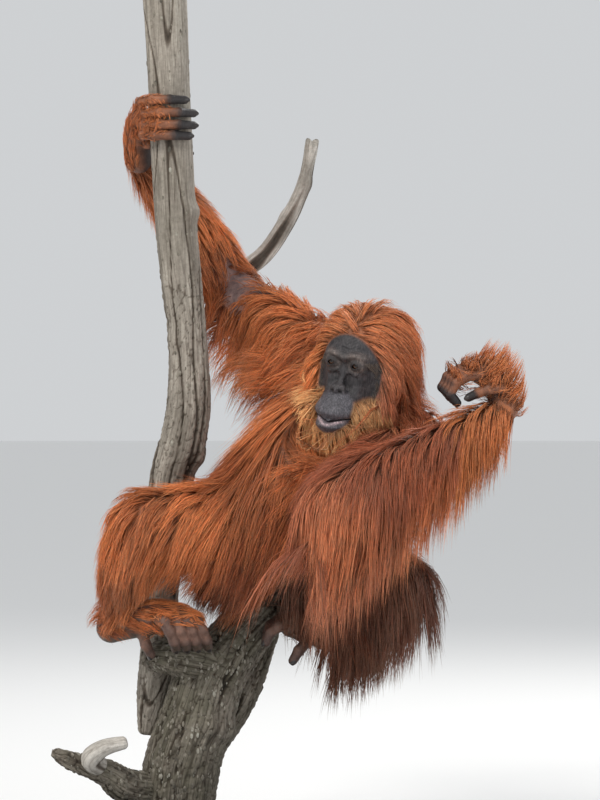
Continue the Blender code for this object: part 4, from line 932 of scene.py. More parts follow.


# the coat's colour holds painted light on the right arm, right leg, left wrist and right of the head, and
# painted shade on the lower belly, left leg and left of the head
def coatColour(points, names, local):  # the same markings serve the hair and the skin under it
    back, lit, pink, dark = [palette[key] for key in ("back", "lit", "pink", "dark")]
    drift = ripple(points, 12, 22)
    fine = ripple(points, 13, 60)
    colour = mixed(back, lit, 0.18 + 0.30 * drift)
    wrist = (names == "hand_left") | ((names == "forearm_left") & (points[:, 0] > 0.27))
    low = np.isin(names, ("thigh_left", "shin_left", "foot_left"))
    # the right arm, right leg and left wrist lean to the lit red as painted light; the left leg and foot lean
    # to the darkest red as painted shade
    for mine, a, b, share, spread in (
            (np.isin(names, ("upper_arm_right", "forearm_right", "hand_right")), back, lit, 0.55, 0.35),
            (np.isin(names, ("shin_right", "foot_right", "thigh_right")), back, lit, 0.38, 0.35),
            (np.isin(names, ("forearm_left", "upper_arm_left")), pink, back, 0.30, 0.35),
            (wrist, back, lit, 0.55, 0.3),
            (low, dark, back, 0.20, 0.22)):
        colour = np.where(mine[:, None], mixed(a, b, share + spread * drift), colour)
    # painted shade, darker towards the bottom of the torso
    under = np.clip((0.56 - points[:, 2]) / 0.10, 0, 1) * np.isin(names, ("torso",)) * 0.55
    colour = mixed(colour, dark, under)
    # the head's hair: painted light on its right side, painted shade on its left side, which also turns pink
    head = names == "head"
    side = np.clip(local[:, 0] / 0.05, -1, 1)
    sideLitHood = mixed(mixed(back, lit, 0.55 - 0.25 * side), pink, 0.55 * np.clip(side, 0, 1))
    colour = np.where(head[:, None], sideLitHood, colour)
    _, _, beard = faceZones(local)
    colour = mixed(colour, palette["gold"], beard * head)
    locks = np.clip(ripple(points, 14, 34) * 1.6, -0.55, 1.0)
    lighter = ~low & (~head | (beard < 0.3))
    colour = np.where(lighter[:, None], mixed(colour, lit, 0.30 * np.clip(locks, 0, 1)), colour)
    return colour * (1.0 + 0.12 * fine[:, None] + 0.16 * locks[:, None])


def sampleSkin(count, seed):  # even random points on the skin, with its normals
    rng = np.random.default_rng(seed)
    mesh = skin.data
    mesh.calc_loop_triangles()
    tris = np.zeros(len(mesh.loop_triangles) * 3, np.int32)
    mesh.loop_triangles.foreach_get("vertices", tris)
    tris = tris.reshape(-1, 3)
    co = vertexArray(mesh)
    normals = np.zeros(len(mesh.vertices) * 3, np.float32)
    mesh.vertices.foreach_get("normal", normals)
    normals = normals.reshape(-1, 3).astype(float)
    a, b, c = co[tris[:, 0]], co[tris[:, 1]], co[tris[:, 2]]
    area = np.linalg.norm(np.cross(b - a, c - a), axis=1)
    pick = rng.choice(len(tris), count, p=area / area.sum())
    r1, r2 = np.sqrt(rng.random(count)), rng.random(count)
    w = np.stack([1 - r1, r1 * (1 - r2), r1 * r2], axis=1)
    points = (co[tris[pick]] * w[:, :, None]).sum(1)
    facing = unit((normals[tris[pick]] * w[:, :, None]).sum(1))
    return points, facing


def hairLie(group, points, normals, along, local):  # direction of the hair at the root
    look = coat[group]
    x, y, z = local.T
    if group in ("head", "beard", "facedown"):
        side = x / (np.abs(x) + 0.006)
        turn = np.arctan2(np.abs(x), y + 0.095)
        if group == "head":  # parted along the crown, swept to both sides
            parting = x - 0.012 + 0.012 * ripple(points, 41, 40) + 0.010 * ripple(points, 42, 300)
            side = parting / (np.abs(parting) + 0.008)
            top = np.clip(z / 0.055, 0, 1)
            way = np.stack([side * (0.45 + 0.9 * top), -0.30 - 0.25 * top, -1.0 + 0.85 * top], axis=1)
        elif group == "beard":
            way = np.stack([x / 0.075, 0.30 + 0 * x, -0.95 - np.clip((z + 0.10) / 0.05, -0.3, 0.4)], axis=1)
        else:
            way = np.stack([side * 0.5, -0.1 + 0 * x, -1.0 + 0 * x], axis=1)
        way = way @ headAxes
    elif group in backs:
        way = np.array(backs[group][1])[None, :] + along * 0.6
    else:
        way = along * look["along"] + np.array(look["fall"])[None, :]
    swirl = np.stack([ripple(points, 21 + m, 16) for m in range(3)], axis=1)
    fine = np.stack([ripple(points, 31 + m, 55) for m in range(3)], axis=1)
    way = unit(way) + swirl * 0.22 + fine * 0.16
    way = way - normals * (way * normals).sum(1, keepdims=True)
    return unit(way)


def hairLength(group, place, angle, local):
    full = coat[group]["length"] * np.ones(len(place))
    if group == "head":
        front = np.clip((local[:, 1] + 0.075) / 0.045, 0, 1)
        return full * (1.0 - 0.42 * front)
    if group == "torso":
        return full * np.clip(0.34 + 1.5 * place, 0.34, 1.0)
    if group == "forearm_left":
        under = np.clip(np.cos(angle - math.radians(105)) * 1.4, 0, 1) * np.clip(1.25 - place, 0.1, 1)
        return full * (0.46 - 0.10 * place + 0.54 * under)
    if group in ("upper_arm_right", "forearm_right"):
        return full * (0.78 + 0.22 * np.clip(-np.cos(angle), -1, 1))
    if group == "shin_right":
        return full * (1.0 - 0.45 * place)
    if group == "thigh_right":
        return full * (1.0 - 0.30 * place)
    if group in hands:
        return full * np.where(place > 1.0, 0.40, 1.0)
    return full


oval = {"wide": 0.062, "high": 0.079, "centre": -0.026}  # the bare face, in the head's frame
chin = {"place": np.array((0.0, 0.020, -0.100)), "radii": np.array((0.056, 0.105, 0.052))}


def clearOfFace(points):  # hair goes round the bare face, never over it
    local = toHead(points)
    x, y, z = local[..., 0] / oval["wide"], local[..., 1], (local[..., 2] - oval["centre"]) / oval["high"]
    r = np.sqrt(x ** 2 + z ** 2)
    inside = (r < 1.0) & (y > -0.070) & (y < 0.12) & (local[..., 2] > -0.085)
    push = np.where(inside, 1.0 / np.maximum(r, 0.05), 1.0)
    local[..., 0] = x * push * oval["wide"]
    local[..., 2] = z * push * oval["high"] + oval["centre"]
    q = (local - chin["place"]) / chin["radii"]
    r = np.linalg.norm(q, axis=-1, keepdims=True)
    outer = chin["place"] + q / np.maximum(r, 0.05) * chin["radii"]
    local = np.where((r < 1.0) & (local[..., 1:2] > -0.05), outer, local)
    return headPoint + local @ headAxes


def treeOf(things):
    verts, faces = [], []
    for thing in things:
        base = len(verts)
        verts += [tuple(v) for v in vertexArray(thing.data)]
        faces += [tuple(base + i for i in q.vertices) for q in thing.data.polygons]
    return BVHTree.FromPolygons(verts, faces)


skinTree = treeOf([skin])
woodTree = treeOf(woodPieces.values())
rises = (0.0, 0.006, 0.011, 0.015, 0.018, 0.020, 0.022)  # height off the skin at each step of a strand
guideSteps = 6


def guideHair(root, normal, way, length, droop, rise, avoidFace, hug):
    step = length / guideSteps
    path = [root]
    facings = [normal]
    heading = (way + normal * 0.28 * rise).normalized()
    here = root
    for i in range(guideSteps):
        pull = droop * (0.35 + 0.65 * (i + 1) / guideSteps)
        heading = (heading * (1.0 - pull) + Vector((0, 0, -1)) * pull).normalized()
        here = here + heading * step
        if avoidFace:
            here = Vector(clearOfFace(np.array(here)[None])[0])
        want = rises[i + 1] * rise
        place, facing, _, distance = skinTree.find_nearest(here)
        off = here - place
        outside = off.dot(facing) > 0.0
        out = off.normalized() if outside and distance > 1e-5 else facing
        if not outside or distance < want:
            here = place + out * want
        elif distance < 0.030 and out.z > -0.35:
            here = place + out * (want + (distance - want) * hug)
        spot, woodFacing, _, gap = woodTree.find_nearest(here)
        off = here - spot
        if off.dot(woodFacing) < 0.0 or gap < 0.007:
            here = spot + (off.normalized() if off.dot(woodFacing) > 0.0 else woodFacing) * 0.008
        heading = (here - path[-1]).normalized()
        here = path[-1] + heading * step  # keeps the true length
        path.append(here.copy())
        facings.append(out)
    return path, facings


def rapidMesh(name, verts, quads, tris):
    mesh = bpy.data.meshes.new(name)
    loops = np.concatenate([quads.ravel(), tris.ravel()]).astype(np.int32)
    starts = np.concatenate([np.arange(len(quads)) * 4, len(quads) * 4 + np.arange(len(tris)) * 3])
    starts = starts.astype(np.int32)
    totals = np.concatenate([np.full(len(quads), 4), np.full(len(tris), 3)]).astype(np.int32)
    mesh.vertices.add(len(verts))
    mesh.vertices.foreach_set("co", verts.astype(np.float32).ravel())
    mesh.loops.add(len(loops))
    mesh.loops.foreach_set("vertex_index", loops)
    mesh.polygons.add(len(starts))
    mesh.polygons.foreach_set("loop_start", starts)
    mesh.polygons.foreach_set("loop_total", totals)
    mesh.polygons.foreach_set("use_smooth", np.ones(len(starts), bool))
    mesh.update(calc_edges=True)
    mesh.validate()
    thing = bpy.data.objects.new(name, mesh)
    bpy.context.scene.collection.objects.link(thing)
    return thing, loops


tuft = {"shares": (0.80, 1.0, 0.80, 0.48), "keel": 0.22, "ridge": 0.55, "patch": 0.003}


def tuftMesh(name, paths, facings, widths, colours, patch):
    # each tuft is a closed, flat, three-sided lock that tapers to a point
    count, rings = paths.shape[0], paths.shape[1] - 1
    tangent = np.zeros_like(paths)
    tangent[:, 1:-1] = paths[:, 2:] - paths[:, :-2]
    tangent[:, 0] = paths[:, 1] - paths[:, 0]
    tangent[:, -1] = paths[:, -1] - paths[:, -2]
    tangent = unit(tangent)
    side = unit(np.cross(tangent, facings))
    up = np.cross(side, tangent)
    verts = np.zeros((count, rings * 3 + 1, 3))
    for i in range(rings):
        half = (widths * tuft["shares"][i] * 0.5)[:, None]
        keel = up[:, i] * half * tuft["keel"]
        verts[:, 3 * i] = paths[:, i] - side[:, i] * half - keel
        verts[:, 3 * i + 1] = paths[:, i] + side[:, i] * half - keel
        verts[:, 3 * i + 2] = paths[:, i] + up[:, i] * half * tuft["ridge"]
    verts[:, -1] = paths[:, -1]
    quads = [(3 * i + k, 3 * i + 3 + k, 3 * i + 3 + (k + 1) % 3, 3 * i + (k + 1) % 3)
             for i in range(rings - 1) for k in range(3)]
    last = 3 * (rings - 1)
    tris = [(last + k, 3 * rings, last + (k + 1) % 3) for k in range(3)] + [(0, 1, 2)]
    base = (np.arange(count) * (3 * rings + 1))[:, None, None]
    allQuads = (np.array(quads)[None] + base).reshape(-1, 4)
    allTris = (np.array(tris)[None] + base).reshape(-1, 3)
    thing, loops = rapidMesh(name, verts.reshape(-1, 3), allQuads, allTris)
    mesh = thing.data
    along = np.concatenate([np.repeat(np.arange(rings) / rings, 3), [1.0]])
    setAttribute(mesh, "along", "FLOAT", np.tile(along, count))
    setAttribute(mesh, "coatColour", "FLOAT_COLOR", np.repeat(colours, 3 * rings + 1, axis=0))
    spot = np.stack([np.append(np.tile([0.0, 1.0, 0.5], rings), 0.5), along], axis=1) - 0.5
    edge = tuft["patch"]
    uv = (np.clip(patch, edge, 1.0 - edge)[:, None, :] + spot[None] * edge).reshape(-1, 2)
    layer = mesh.uv_layers.new(name="OFBake")
    layer.data.foreach_set("uv", uv[loops].astype(np.float32).ravel())
    return thing


growth = {"samples": 460000, "sampleSeed": 5, "seed": 77, "quickShare": 0.12, "tuftsPerPiece": 8600,
          "over": 1.12, "usualHug": 0.35, "lift": 0.02, "sunk": 0.0015}
# a strand past the front or the side plane keeps only a share of its overhang, so that the coat stays near the
# solids' box, and is shorter or flatter there than its own length would make it
holding = {"front": -0.280, "frontKept": 0.25, "side": 0.375, "sideKept": 0.40}


def coatGroups(points, normals, names, place, local, chance):  # which piece of coat each root grows, or bare
    bare, muzzle, beard = faceZones(local)
    group = names.astype(object)
    head = names == "head"
    group[head & (beard > chance)] = "beard"
    group[head & (bare > 0.5)] = "bare"
    middle = np.linalg.norm((local - np.array((0, 0, -0.03)))[:, [0, 2]], axis=1)
    edge = head & (bare > 0.5) & (muzzle < 0.3) & (middle > 0.050) & (local[:, 2] < 0.010)
    group[edge & (chance < 0.5)] = "facedown"
    for label, (outward, _) in backs.items():
        mine = names == label
        dorsal = (normals * unit(np.array(outward))).sum(1)
        furthest = {"foot": 1.16, "hand": 1.46}[label[:4]]
        keep = (dorsal > -0.10 + 0.3 * chance) & (place < furthest + 0.25 * chance)
        if label == "hand_left":  # the flexed wrist is furred on both sides
            keep |= (place < 0.75) & (dorsal > -0.95)
        group[mine & ~keep] = "bare"
    group[(patchShare(points) * thinPatch["bare"] > chance) & ~head] = "bare"
    return group


def growGuides(look, roots, normals, lie, full, avoidFace):  # the few strands that the others follow
    tree = KDTree(len(roots))
    paths, facings = [], []
    for n, (root, normal) in enumerate(zip(map(Vector, roots), map(Vector, normals))):
        path, facing = guideHair(root, normal, Vector(lie[n]), full[n] * growth["over"], look["droop"],
                                 look["rise"], avoidFace, look.get("hug", growth["usualHug"]))
        paths.append([tuple(v) for v in path])
        facings.append([tuple(v) for v in facing])
        tree.insert(root + normal * growth["lift"], n)
    tree.balance()
    return tree, np.array(paths), np.array(facings)


def offSkinAndWood(hair, layer):  # moves points out of the skin and out of the wood
    for n in range(len(hair)):
        for i in range(1, 5):
            here = Vector(hair[n, i])
            spot, out, _, distance = skinTree.find_nearest(here)
            want = rises[i + 1] * layer[n] * 0.8
            if (here - spot).dot(out) < 0.0 or distance < want:
                hair[n, i] = spot + out * want
            elif i > 1:
                hit = woodTree.find_nearest(here, 0.006)
                if hit[0] is not None:
                    hair[n, i] = hit[0] + hit[1] * 0.0065


def heldIn(hair):
    y, front = hair[..., 1], holding["front"]
    hair[..., 1] = np.maximum(y, front + (y - front) * holding["frontKept"])
    x, side = hair[..., 0], holding["side"]
    hair[..., 0] = np.minimum(x, side + (x - side) * holding["sideKept"])


def growCoat():
    rng = np.random.default_rng(growth["seed"])
    share = 1.0
    points, normals = sampleSkin(growth["samples"], growth["sampleSeed"])
    names, place, angle, along, local = labelled(points)
    group = coatGroups(points, normals, names, place, local, rng.random(len(points)))
    shares = np.array((0.0, 0.22, 0.48, 0.75, 1.0))
    made = []
    for label, look in coat.items():
        ids = np.flatnonzero(group == label)[:int(look["tufts"] * share)]
        if len(ids) == 0:
            continue
        first = max(8, len(ids) // tuftsPerGuide)
        root, facingOut = points[ids], normals[ids]
        lie = hairLie(label, root, facingOut, along[ids], local[ids])
        full = hairLength(label, place[ids], angle[ids], local[ids])
        full = full * (1 - thinPatch["shorter"] * patchShare(root))
        avoidFace = label not in ("beard", "facedown")
        tree, paths, facings = growGuides(look, root[:first], facingOut[:first], lie, full, avoidFace)
        lifted = [Vector(a) + Vector(b) * growth["lift"] for a, b in zip(root, facingOut)]
        owner = np.array([tree.find(spot)[1] for spot in lifted])
        reach = full * rng.uniform(0.55, 1.12, len(ids)) / (full[:first][owner] * growth["over"])
        reach = np.clip(reach, 0.3, 1.0)
        away = root - paths[owner][:, 0]
        tip = paths[owner, np.minimum((reach * guideSteps).astype(int), guideSteps)] + root - paths[owner][:, 0]
        bough = 0.512 + 1.075 * tip[:, 0]  # the coat ends above the bare bough
        over = (tip[:, 0] > -0.150) & (tip[:, 0] < 0.015) & (tip[:, 1] < 0.10) & (tip[:, 2] < bough)
        over = over & (label not in ("thigh_left", "shin_left", "foot_left"))
        trim = np.clip((root[:, 2] - bough) / np.maximum(root[:, 2] - tip[:, 2], 0.01), 0.12, 1.0)
        reach = np.where(over, reach * trim * rng.uniform(0.85, 1.15, len(ids)), reach)
        where = shares[None] * np.minimum(reach, 1.0)[:, None] * guideSteps
        low = np.minimum(where.astype(int), guideSteps - 1)
        part = (where - low)[:, :, None]
        rows = owner[:, None]
        follow = paths[rows, low] * (1 - part) + paths[rows, low + 1] * part
        facing = unit(facings[rows, low] * (1 - part) + facings[rows, low + 1] * part)
        clump = rng.uniform(0.25, 0.85, len(ids))
        drift = unit(rng.normal(size=(len(ids), 3))) * (full * rng.uniform(0.02, 0.11, len(ids)))[:, None]
        wave = unit(rng.normal(size=(len(ids), 3))) * (full * rng.uniform(0.004, 0.022, len(ids)))[:, None]
        phase = rng.uniform(0, 6.28, len(ids))
        s = shares[None]
        hair = follow + away[:, None] * (1.0 - clump[:, None] * s ** 1.1)[:, :, None]
        hair = hair + drift[:, None] * (s ** 1.4)[:, :, None]
        hair = hair + wave[:, None] * (np.sin(s * 8 + phase[:, None]) * s)[:, :, None]
        if avoidFace:
            hair[:, 1:] = clearOfFace(hair[:, 1:])
        layer = rng.uniform(0.2, 1.05, len(ids)) * look["rise"]
        offSkinAndWood(hair, layer)
        hair[:, 0] -= facingOut * growth["sunk"]
        heldIn(hair)
        # coat colours, with their painted light and shade
        colours = coatColour(root, names[ids], local[ids])
        if label == "facedown":
            colours = colours * 0 + np.array(palette["pale"])
        colours = colours * rng.uniform(0.60, 1.32, len(ids))[:, None]
        redder = rng.uniform(-0.12, 0.12, len(ids))
        colours[:, 1] *= 1 + redder
        colours[:, 2] *= 1 + redder * 1.6
        widths = look["width"] * rng.uniform(0.55, 1.45, len(ids))
        patch = np.stack([np.clip(place[ids] / (2.0 if label in hands else 1.0), 0, 1),
                          (angle[ids] / (2 * math.pi)) % 1.0], axis=1)
        pieces = max(1, math.ceil(len(ids) / growth["tuftsPerPiece"]))
        title = "".join(w.capitalize() for w in label.split("_"))
        for number, lot in enumerate(np.array_split(np.arange(len(ids)), pieces)):
            name = "coat" + title + (str(number + 1) if pieces > 1 else "")
            made.append(tuftMesh(name, hair[lot], facing[lot], widths[lot], colours[lot], patch[lot]))
    return made


coatPieces = growCoat()
print("coat triangles", sum(sum(len(q.vertices) - 2 for q in c.data.polygons) for c in coatPieces))
report("coat")


# materials
def newMaterial(name):
    material = bpy.data.materials.new(name)
    material.use_nodes = True
    tree = material.node_tree
    return material, tree, tree.nodes["Principled BSDF"]


def node(tree, kind, **values):
    made = tree.nodes.new(kind)
    for key, value in values.items():
        if key in made.inputs:
            made.inputs[key].default_value = value
        else:
            setattr(made, key, value)
    return made


def setSockets(shader, **values):  # a socket's name, with _ for each space
    for key, value in values.items():
        shader.inputs[key.replace("_", " ")].default_value = value


def ramp(tree, source, stops):
    made = tree.nodes.new("ShaderNodeValToRGB")
    elements = made.color_ramp.elements
    while len(elements) < len(stops):
        elements.new(0.5)
    for element, (place, colour) in zip(elements, stops):
        element.position = place
        element.color = (*colour, 1.0) if len(colour) == 3 else (colour[0], colour[0], colour[0], 1.0)
    tree.links.new(source, made.inputs["Fac"])
    return made.outputs["Color"]


def blendColour(tree, factor, a, b, mode="MIX"):
    made = tree.nodes.new("ShaderNodeMix")
    made.data_type = "RGBA"
    made.blend_type = mode
    for socket, value in ((made.inputs[0], factor), (made.inputs[6], a), (made.inputs[7], b)):
        if isinstance(value, (int, float)):
            socket.default_value = value
        elif isinstance(value, tuple):
            socket.default_value = (*value, 1.0)
        else:
            tree.links.new(value, socket)
    return made.outputs[2]


def tinted(tree, factor, colour, source, stops):  # darkens or lightens a colour by a ramp over a pattern
    return blendColour(tree, factor, colour, ramp(tree, source, stops), "MULTIPLY")


def attribute(tree, name, output="Fac"):
    made = tree.nodes.new("ShaderNodeAttribute")
    made.attribute_name = name
    return made.outputs[output]


def texture(tree, kind, vector, **values):
    made = node(tree, kind, **values)
    tree.links.new(vector, made.inputs["Vector"])
    return made


def grains(tree, vector, scale, detail, roughness=0.5):
    made = texture(tree, "ShaderNodeTexNoise", vector, Scale=scale, Detail=detail, Roughness=roughness)
    return made.outputs["Fac"]


def cells(tree, vector, scale):  # distance to the edge between cells
    made = texture(tree, "ShaderNodeTexVoronoi", vector, Scale=scale, feature="DISTANCE_TO_EDGE")
    return made.outputs["Distance"]


def stretched(tree, source, scale):
    mapping = node(tree, "ShaderNodeMapping", Scale=scale)
    tree.links.new(source, mapping.inputs["Vector"])
    return mapping.outputs["Vector"]


def objectPoint(tree, scale=(1, 1, 1)):
    return stretched(tree, tree.nodes.new("ShaderNodeTexCoord").outputs["Object"], scale)


def bump(tree, height, strength, distance, after=None):
    made = node(tree, "ShaderNodeBump", Strength=strength, Distance=distance)
    tree.links.new(height, made.inputs["Height"])
    if after is not None:
        tree.links.new(after, made.inputs["Normal"])
    return made.outputs["Normal"]


def hairMaterial():
    material, tree, shader = newMaterial("longRedHair")
    # along each strand: painted shade at the root, painted highlight towards the tip
    colour = tinted(tree, 1.0, attribute(tree, "coatColour", "Color"), attribute(tree, "along"), [
        (0.0, (0.42, 0.36, 0.34)), (0.35, (0.92, 0.90, 0.88)), (0.8, (1.18, 1.16, 1.10)),
        (1.0, (1.42, 1.48, 1.50))])
    streak = grains(tree, objectPoint(tree), 160.0, 2.0)
    colour = tinted(tree, 0.35, colour, streak, [(0.3, (0.55, 0.5, 0.5)), (0.7, (1.3, 1.3, 1.3))])
    tree.links.new(colour, shader.inputs["Base Color"])
    setSockets(shader, Roughness=0.50, Specular_IOR_Level=0.35, Sheen_Weight=0.25, Sheen_Roughness=0.45,
               Sheen_Tint=(1.0, 0.72, 0.50, 1.0))
    return material


def hideMaterial():
    material, tree, shader = newMaterial("leatheryHide")
    point = objectPoint(tree)
    # random blotches of lighter and darker hide, the lightest partly painted highlight
    blotch = grains(tree, point, 48.0, 5.0, 0.6)
    colour = tinted(tree, 0.85, attribute(tree, "hideColour", "Color"), blotch, [
        (0.30, (0.42, 0.40, 0.42)), (0.52, (1.0, 1.0, 1.0)), (0.72, (1.75, 1.68, 1.62))])
    pores = cells(tree, point, 520.0)
    # painted shade in the creases between the cells
    crease = cells(tree, objectPoint(tree, (1.0, 1.0, 0.45)), 230.0)
    colour = tinted(tree, 0.45, colour, crease, [(0.0, (0.55,)), (0.08, (1.0,))])
    down = stretched(tree, attribute(tree, "headPlace", "Vector"), (1.0, 1.0, 0.22))
    streaks = grains(tree, down, 430.0, 5.0, 0.65)  # fine lines that run from brow to lip
    folds = cells(tree, objectPoint(tree, (1.0, 1.0, 0.8)), 105.0)
    faceShare = attribute(tree, "faceShare")
    # on the face the fine lines' light parts are painted highlight and the wrinkle folds get painted shade
    for factor, source, stops in (
            (1.0, streaks, [(0.36, (0.45, 0.44, 0.46)), (0.50, (1.0, 1.0, 1.0)), (0.66, (2.1, 2.0, 2.0))]),
            (0.8, folds, [(0.0, (0.45,)), (0.05, (1.0,))])):
        colour = blendColour(tree, faceShare, colour, tinted(tree, factor, colour, source, stops))
    tree.links.new(colour, shader.inputs["Base Color"])
    normal = bump(tree, pores, 0.45, 0.0008)
    for source, strength, distance in ((crease, 0.60, 0.0014), (streaks, 0.45, 0.0012), (folds, 0.35, 0.0020)):
        normal = bump(tree, source, strength, distance, normal)
    tree.links.new(normal, shader.inputs["Normal"])
    rough = node(tree, "ShaderNodeMapRange")
    tree.links.new(blotch, rough.inputs["Value"])
    setSockets(rough, To_Min=0.42, To_Max=0.66)
    tree.links.new(rough.outputs["Result"], shader.inputs["Roughness"])
    setSockets(shader, Specular_IOR_Level=0.45)
    return material


def eyeMaterial():
    material, tree, shader = newMaterial("wetBrownEye")
    colour = ramp(tree, attribute(tree, "gazeAngle"), [
        (0.0, (0.002, 0.0015, 0.001)), (0.22, (0.003, 0.002, 0.001)), (0.26, (0.085, 0.034, 0.012)),
        (0.50, (0.040, 0.015, 0.006)), (0.58, (0.006, 0.003, 0.002)), (0.70, (0.030, 0.018, 0.013)),
        (1.0, (0.045, 0.028, 0.022))])
    fibre = grains(tree, objectPoint(tree), 900.0, 3.0)
    colour = tinted(tree, 0.5, colour, fibre, [(0.3, (0.6, 0.6, 0.6)), (0.7, (1.3, 1.3, 1.3))])
    tree.links.new(colour, shader.inputs["Base Color"])
    setSockets(shader, Roughness=0.16, Specular_IOR_Level=0.30, Coat_Weight=0.25, Coat_Roughness=0.06)
    return material


def plainMaterial(name, scale, stops, roughness):  # one noise pattern between a few colours
    material, tree, shader = newMaterial(name)
    pattern = grains(tree, objectPoint(tree), scale, 3.0)
    tree.links.new(ramp(tree, pattern, stops), shader.inputs["Base Color"])
    setSockets(shader, Roughness=roughness)
    return material, tree, shader, pattern


def nailMaterial():
    stops = [(0.3, (0.012, 0.010, 0.010)), (0.7, (0.050, 0.042, 0.038))]
    material, tree, shader, grain = plainMaterial("darkNail", 420.0, stops, 0.30)
    tree.links.new(bump(tree, grain, 0.25, 0.0004), shader.inputs["Normal"])
    return material


def chipMaterial():
    stops = [(0.35, (0.085, 0.075, 0.058)), (0.55, (0.220, 0.195, 0.155)), (0.70, (0.360, 0.345, 0.290))]
    return plainMaterial("barkChips", 70.0, stops, 0.9)[0]


def woodMaterial(name, pale, dark, moss, barky):
    material, tree, shader = newMaterial(name)
    grain = stretched(tree, attribute(tree, "grain", "Vector"), (1.0, 1.0, 0.07))
    fibres = grains(tree, grain, 330.0, 6.0, 0.65)
    bands = grains(tree, grain, 75.0, 4.0)
    patches = grains(tree, objectPoint(tree), 9.0, 6.0, 0.6)
    fine = grains(tree, objectPoint(tree), 150.0, 6.0, 0.7)
    middle = tuple((a + b) / 2 for a, b in zip(pale, dark))
    colour = ramp(tree, bands, [(0.28, dark), (0.52, middle), (0.70, pale)])
    colour = tinted(tree, 0.75, colour, fibres, [(0.28, (0.48, 0.45, 0.42)), (0.50, (1.0, 1.0, 1.0)),
                                                 (0.74, (1.32, 1.32, 1.32))])
    mossy = ramp(tree, patches, [(0.44, (0.0,)), (0.62, (moss[3],))])
    colour = blendColour(tree, mossy, colour, moss[:3])
    plates = cells(tree, grain, 95.0)
    for factor, source, stops in (
            (0.6, fine, [(0.32, (0.62, 0.60, 0.58)), (0.7, (1.18, 1.18, 1.18))]),
            (0.95, attribute(tree, "crackDepth"),
             [(0.10, (1.0, 1.0, 1.0)), (0.55, (0.34, 0.30, 0.27)), (1.0, (0.10, 0.085, 0.07))]),
            (0.25 + 0.55 * barky, plates, [(0.0, (0.35, 0.32, 0.30)), (0.10, (1.0, 1.0, 1.0))])):
        colour = tinted(tree, factor, colour, source, stops)
    tree.links.new(colour, shader.inputs["Base Color"])
    normal = bump(tree, fibres, 0.7, 0.0020)
    normal = bump(tree, plates, 0.2 + 0.5 * barky, 0.003, normal)
    normal = bump(tree, fine, 0.5, 0.0012 + 0.0015 * barky, normal)
    tree.links.new(normal, shader.inputs["Normal"])
    setSockets(shader, Roughness=0.86, Specular_IOR_Level=0.25)
    return material


def standMaterial():
    material, tree, shader = newMaterial("standEnamel")
    grain = grains(tree, objectPoint(tree), 700.0, 3.0)
    cloud = grains(tree, objectPoint(tree), 6.0, 4.0)
    colour = ramp(tree, cloud, [(0.35, (0.030, 0.030, 0.033)), (0.7, (0.050, 0.050, 0.054))])
    tree.links.new(colour, shader.inputs["Base Color"])
    tree.links.new(bump(tree, grain, 0.12, 0.0003), shader.inputs["Normal"])
    setSockets(shader, Roughness=0.42, Metallic=0.0)
    return material


flakes = {"density": 7500.0, "smallest": 0.0016, "largest": 0.0060, "seed": 11}


def flakeTree(material):
    tree = bpy.data.node_groups.new("barkFlakes", "GeometryNodeTree")
    for name, way, kind in (("Wood", "INPUT", "Geometry"), ("density", "INPUT", "Float"),
                            ("smallest", "INPUT", "Float"), ("largest", "INPUT", "Float"),
                            ("seed", "INPUT", "Int"), ("Flakes", "OUTPUT", "Geometry")):
        tree.interface.new_socket(name, in_out=way, socket_type="NodeSocket" + kind)
    start, end, scatter, chip, flat, size, instance, real, paint = [tree.nodes.new(kind) for kind in (
        "NodeGroupInput", "NodeGroupOutput", "GeometryNodeDistributePointsOnFaces", "GeometryNodeMeshIcoSphere",
        "GeometryNodeTransform", "FunctionNodeRandomValue", "GeometryNodeInstanceOnPoints",
        "GeometryNodeRealizeInstances", "GeometryNodeSetMaterial")]
    setSockets(chip, Subdivisions=1, Radius=1.0)
    setSockets(flat, Scale=(0.55, 1.0, 0.22))
    setSockets(paint, Material=material)
    for source, output, target, socket in (
            (start, "Wood", scatter, "Mesh"), (start, "density", scatter, "Density"),
            (start, "seed", scatter, "Seed"), (start, "smallest", size, 2), (start, "largest", size, 3),
            (start, "seed", size, "Seed"),
            (chip, "Mesh", flat, "Geometry"), (scatter, "Points", instance, "Points"),
            (scatter, "Rotation", instance, "Rotation"), (flat, "Geometry", instance, "Instance"),
            (size, 1, instance, "Scale"), (instance, "Instances", real, "Geometry"),
            (real, "Geometry", paint, "Geometry"), (paint, "Geometry", end, "Flakes")):
        tree.links.new(source.outputs[output], target.inputs[socket])
    return tree


def makeFlakes(label, tree, density):  # one plain mesh of flakes for each rough length of wood
    holder = bpy.data.objects.new("flakes" + label.title().replace("_", ""), woodPieces[label].data.copy())
    bpy.context.scene.collection.objects.link(holder)
    modifier = holder.modifiers.new("flakes", "NODES")
    modifier.node_group = tree
    values = dict(flakes, density=density)
    for item in tree.interface.items_tree:
        if item.in_out == "INPUT" and item.name in values:
            modifier[item.identifier] = values[item.name]
    graph = bpy.context.evaluated_depsgraph_get()
    mesh = bpy.data.meshes.new_from_object(holder.evaluated_get(graph))
    holder.modifiers.clear()
    holder.data = mesh
    return holder


hideTones = {
    # the eye pits' tone is painted shade
    "face": (0.040, 0.036, 0.038), "muzzle": (0.092, 0.088, 0.100), "socket": (0.026, 0.020, 0.019),
    # the brows' light tone is painted highlight on the ridges
    "brow": (0.200, 0.160, 0.140), "lid": (0.110, 0.090, 0.082), "pouch": (0.095, 0.085, 0.088),
    # the nostrils' near black is painted shade in the holes
    "nostrilShade": (0.006, 0.005, 0.005), "lip": (0.420, 0.320, 0.330), "digit": (0.230, 0.095, 0.052),
    "toe": (0.150, 0.090, 0.070), "end": (0.020, 0.017, 0.017), "sole": (0.060, 0.050, 0.034),
    "palm": tuple(1.6 * value for value in (0.020, 0.017, 0.017)),
}


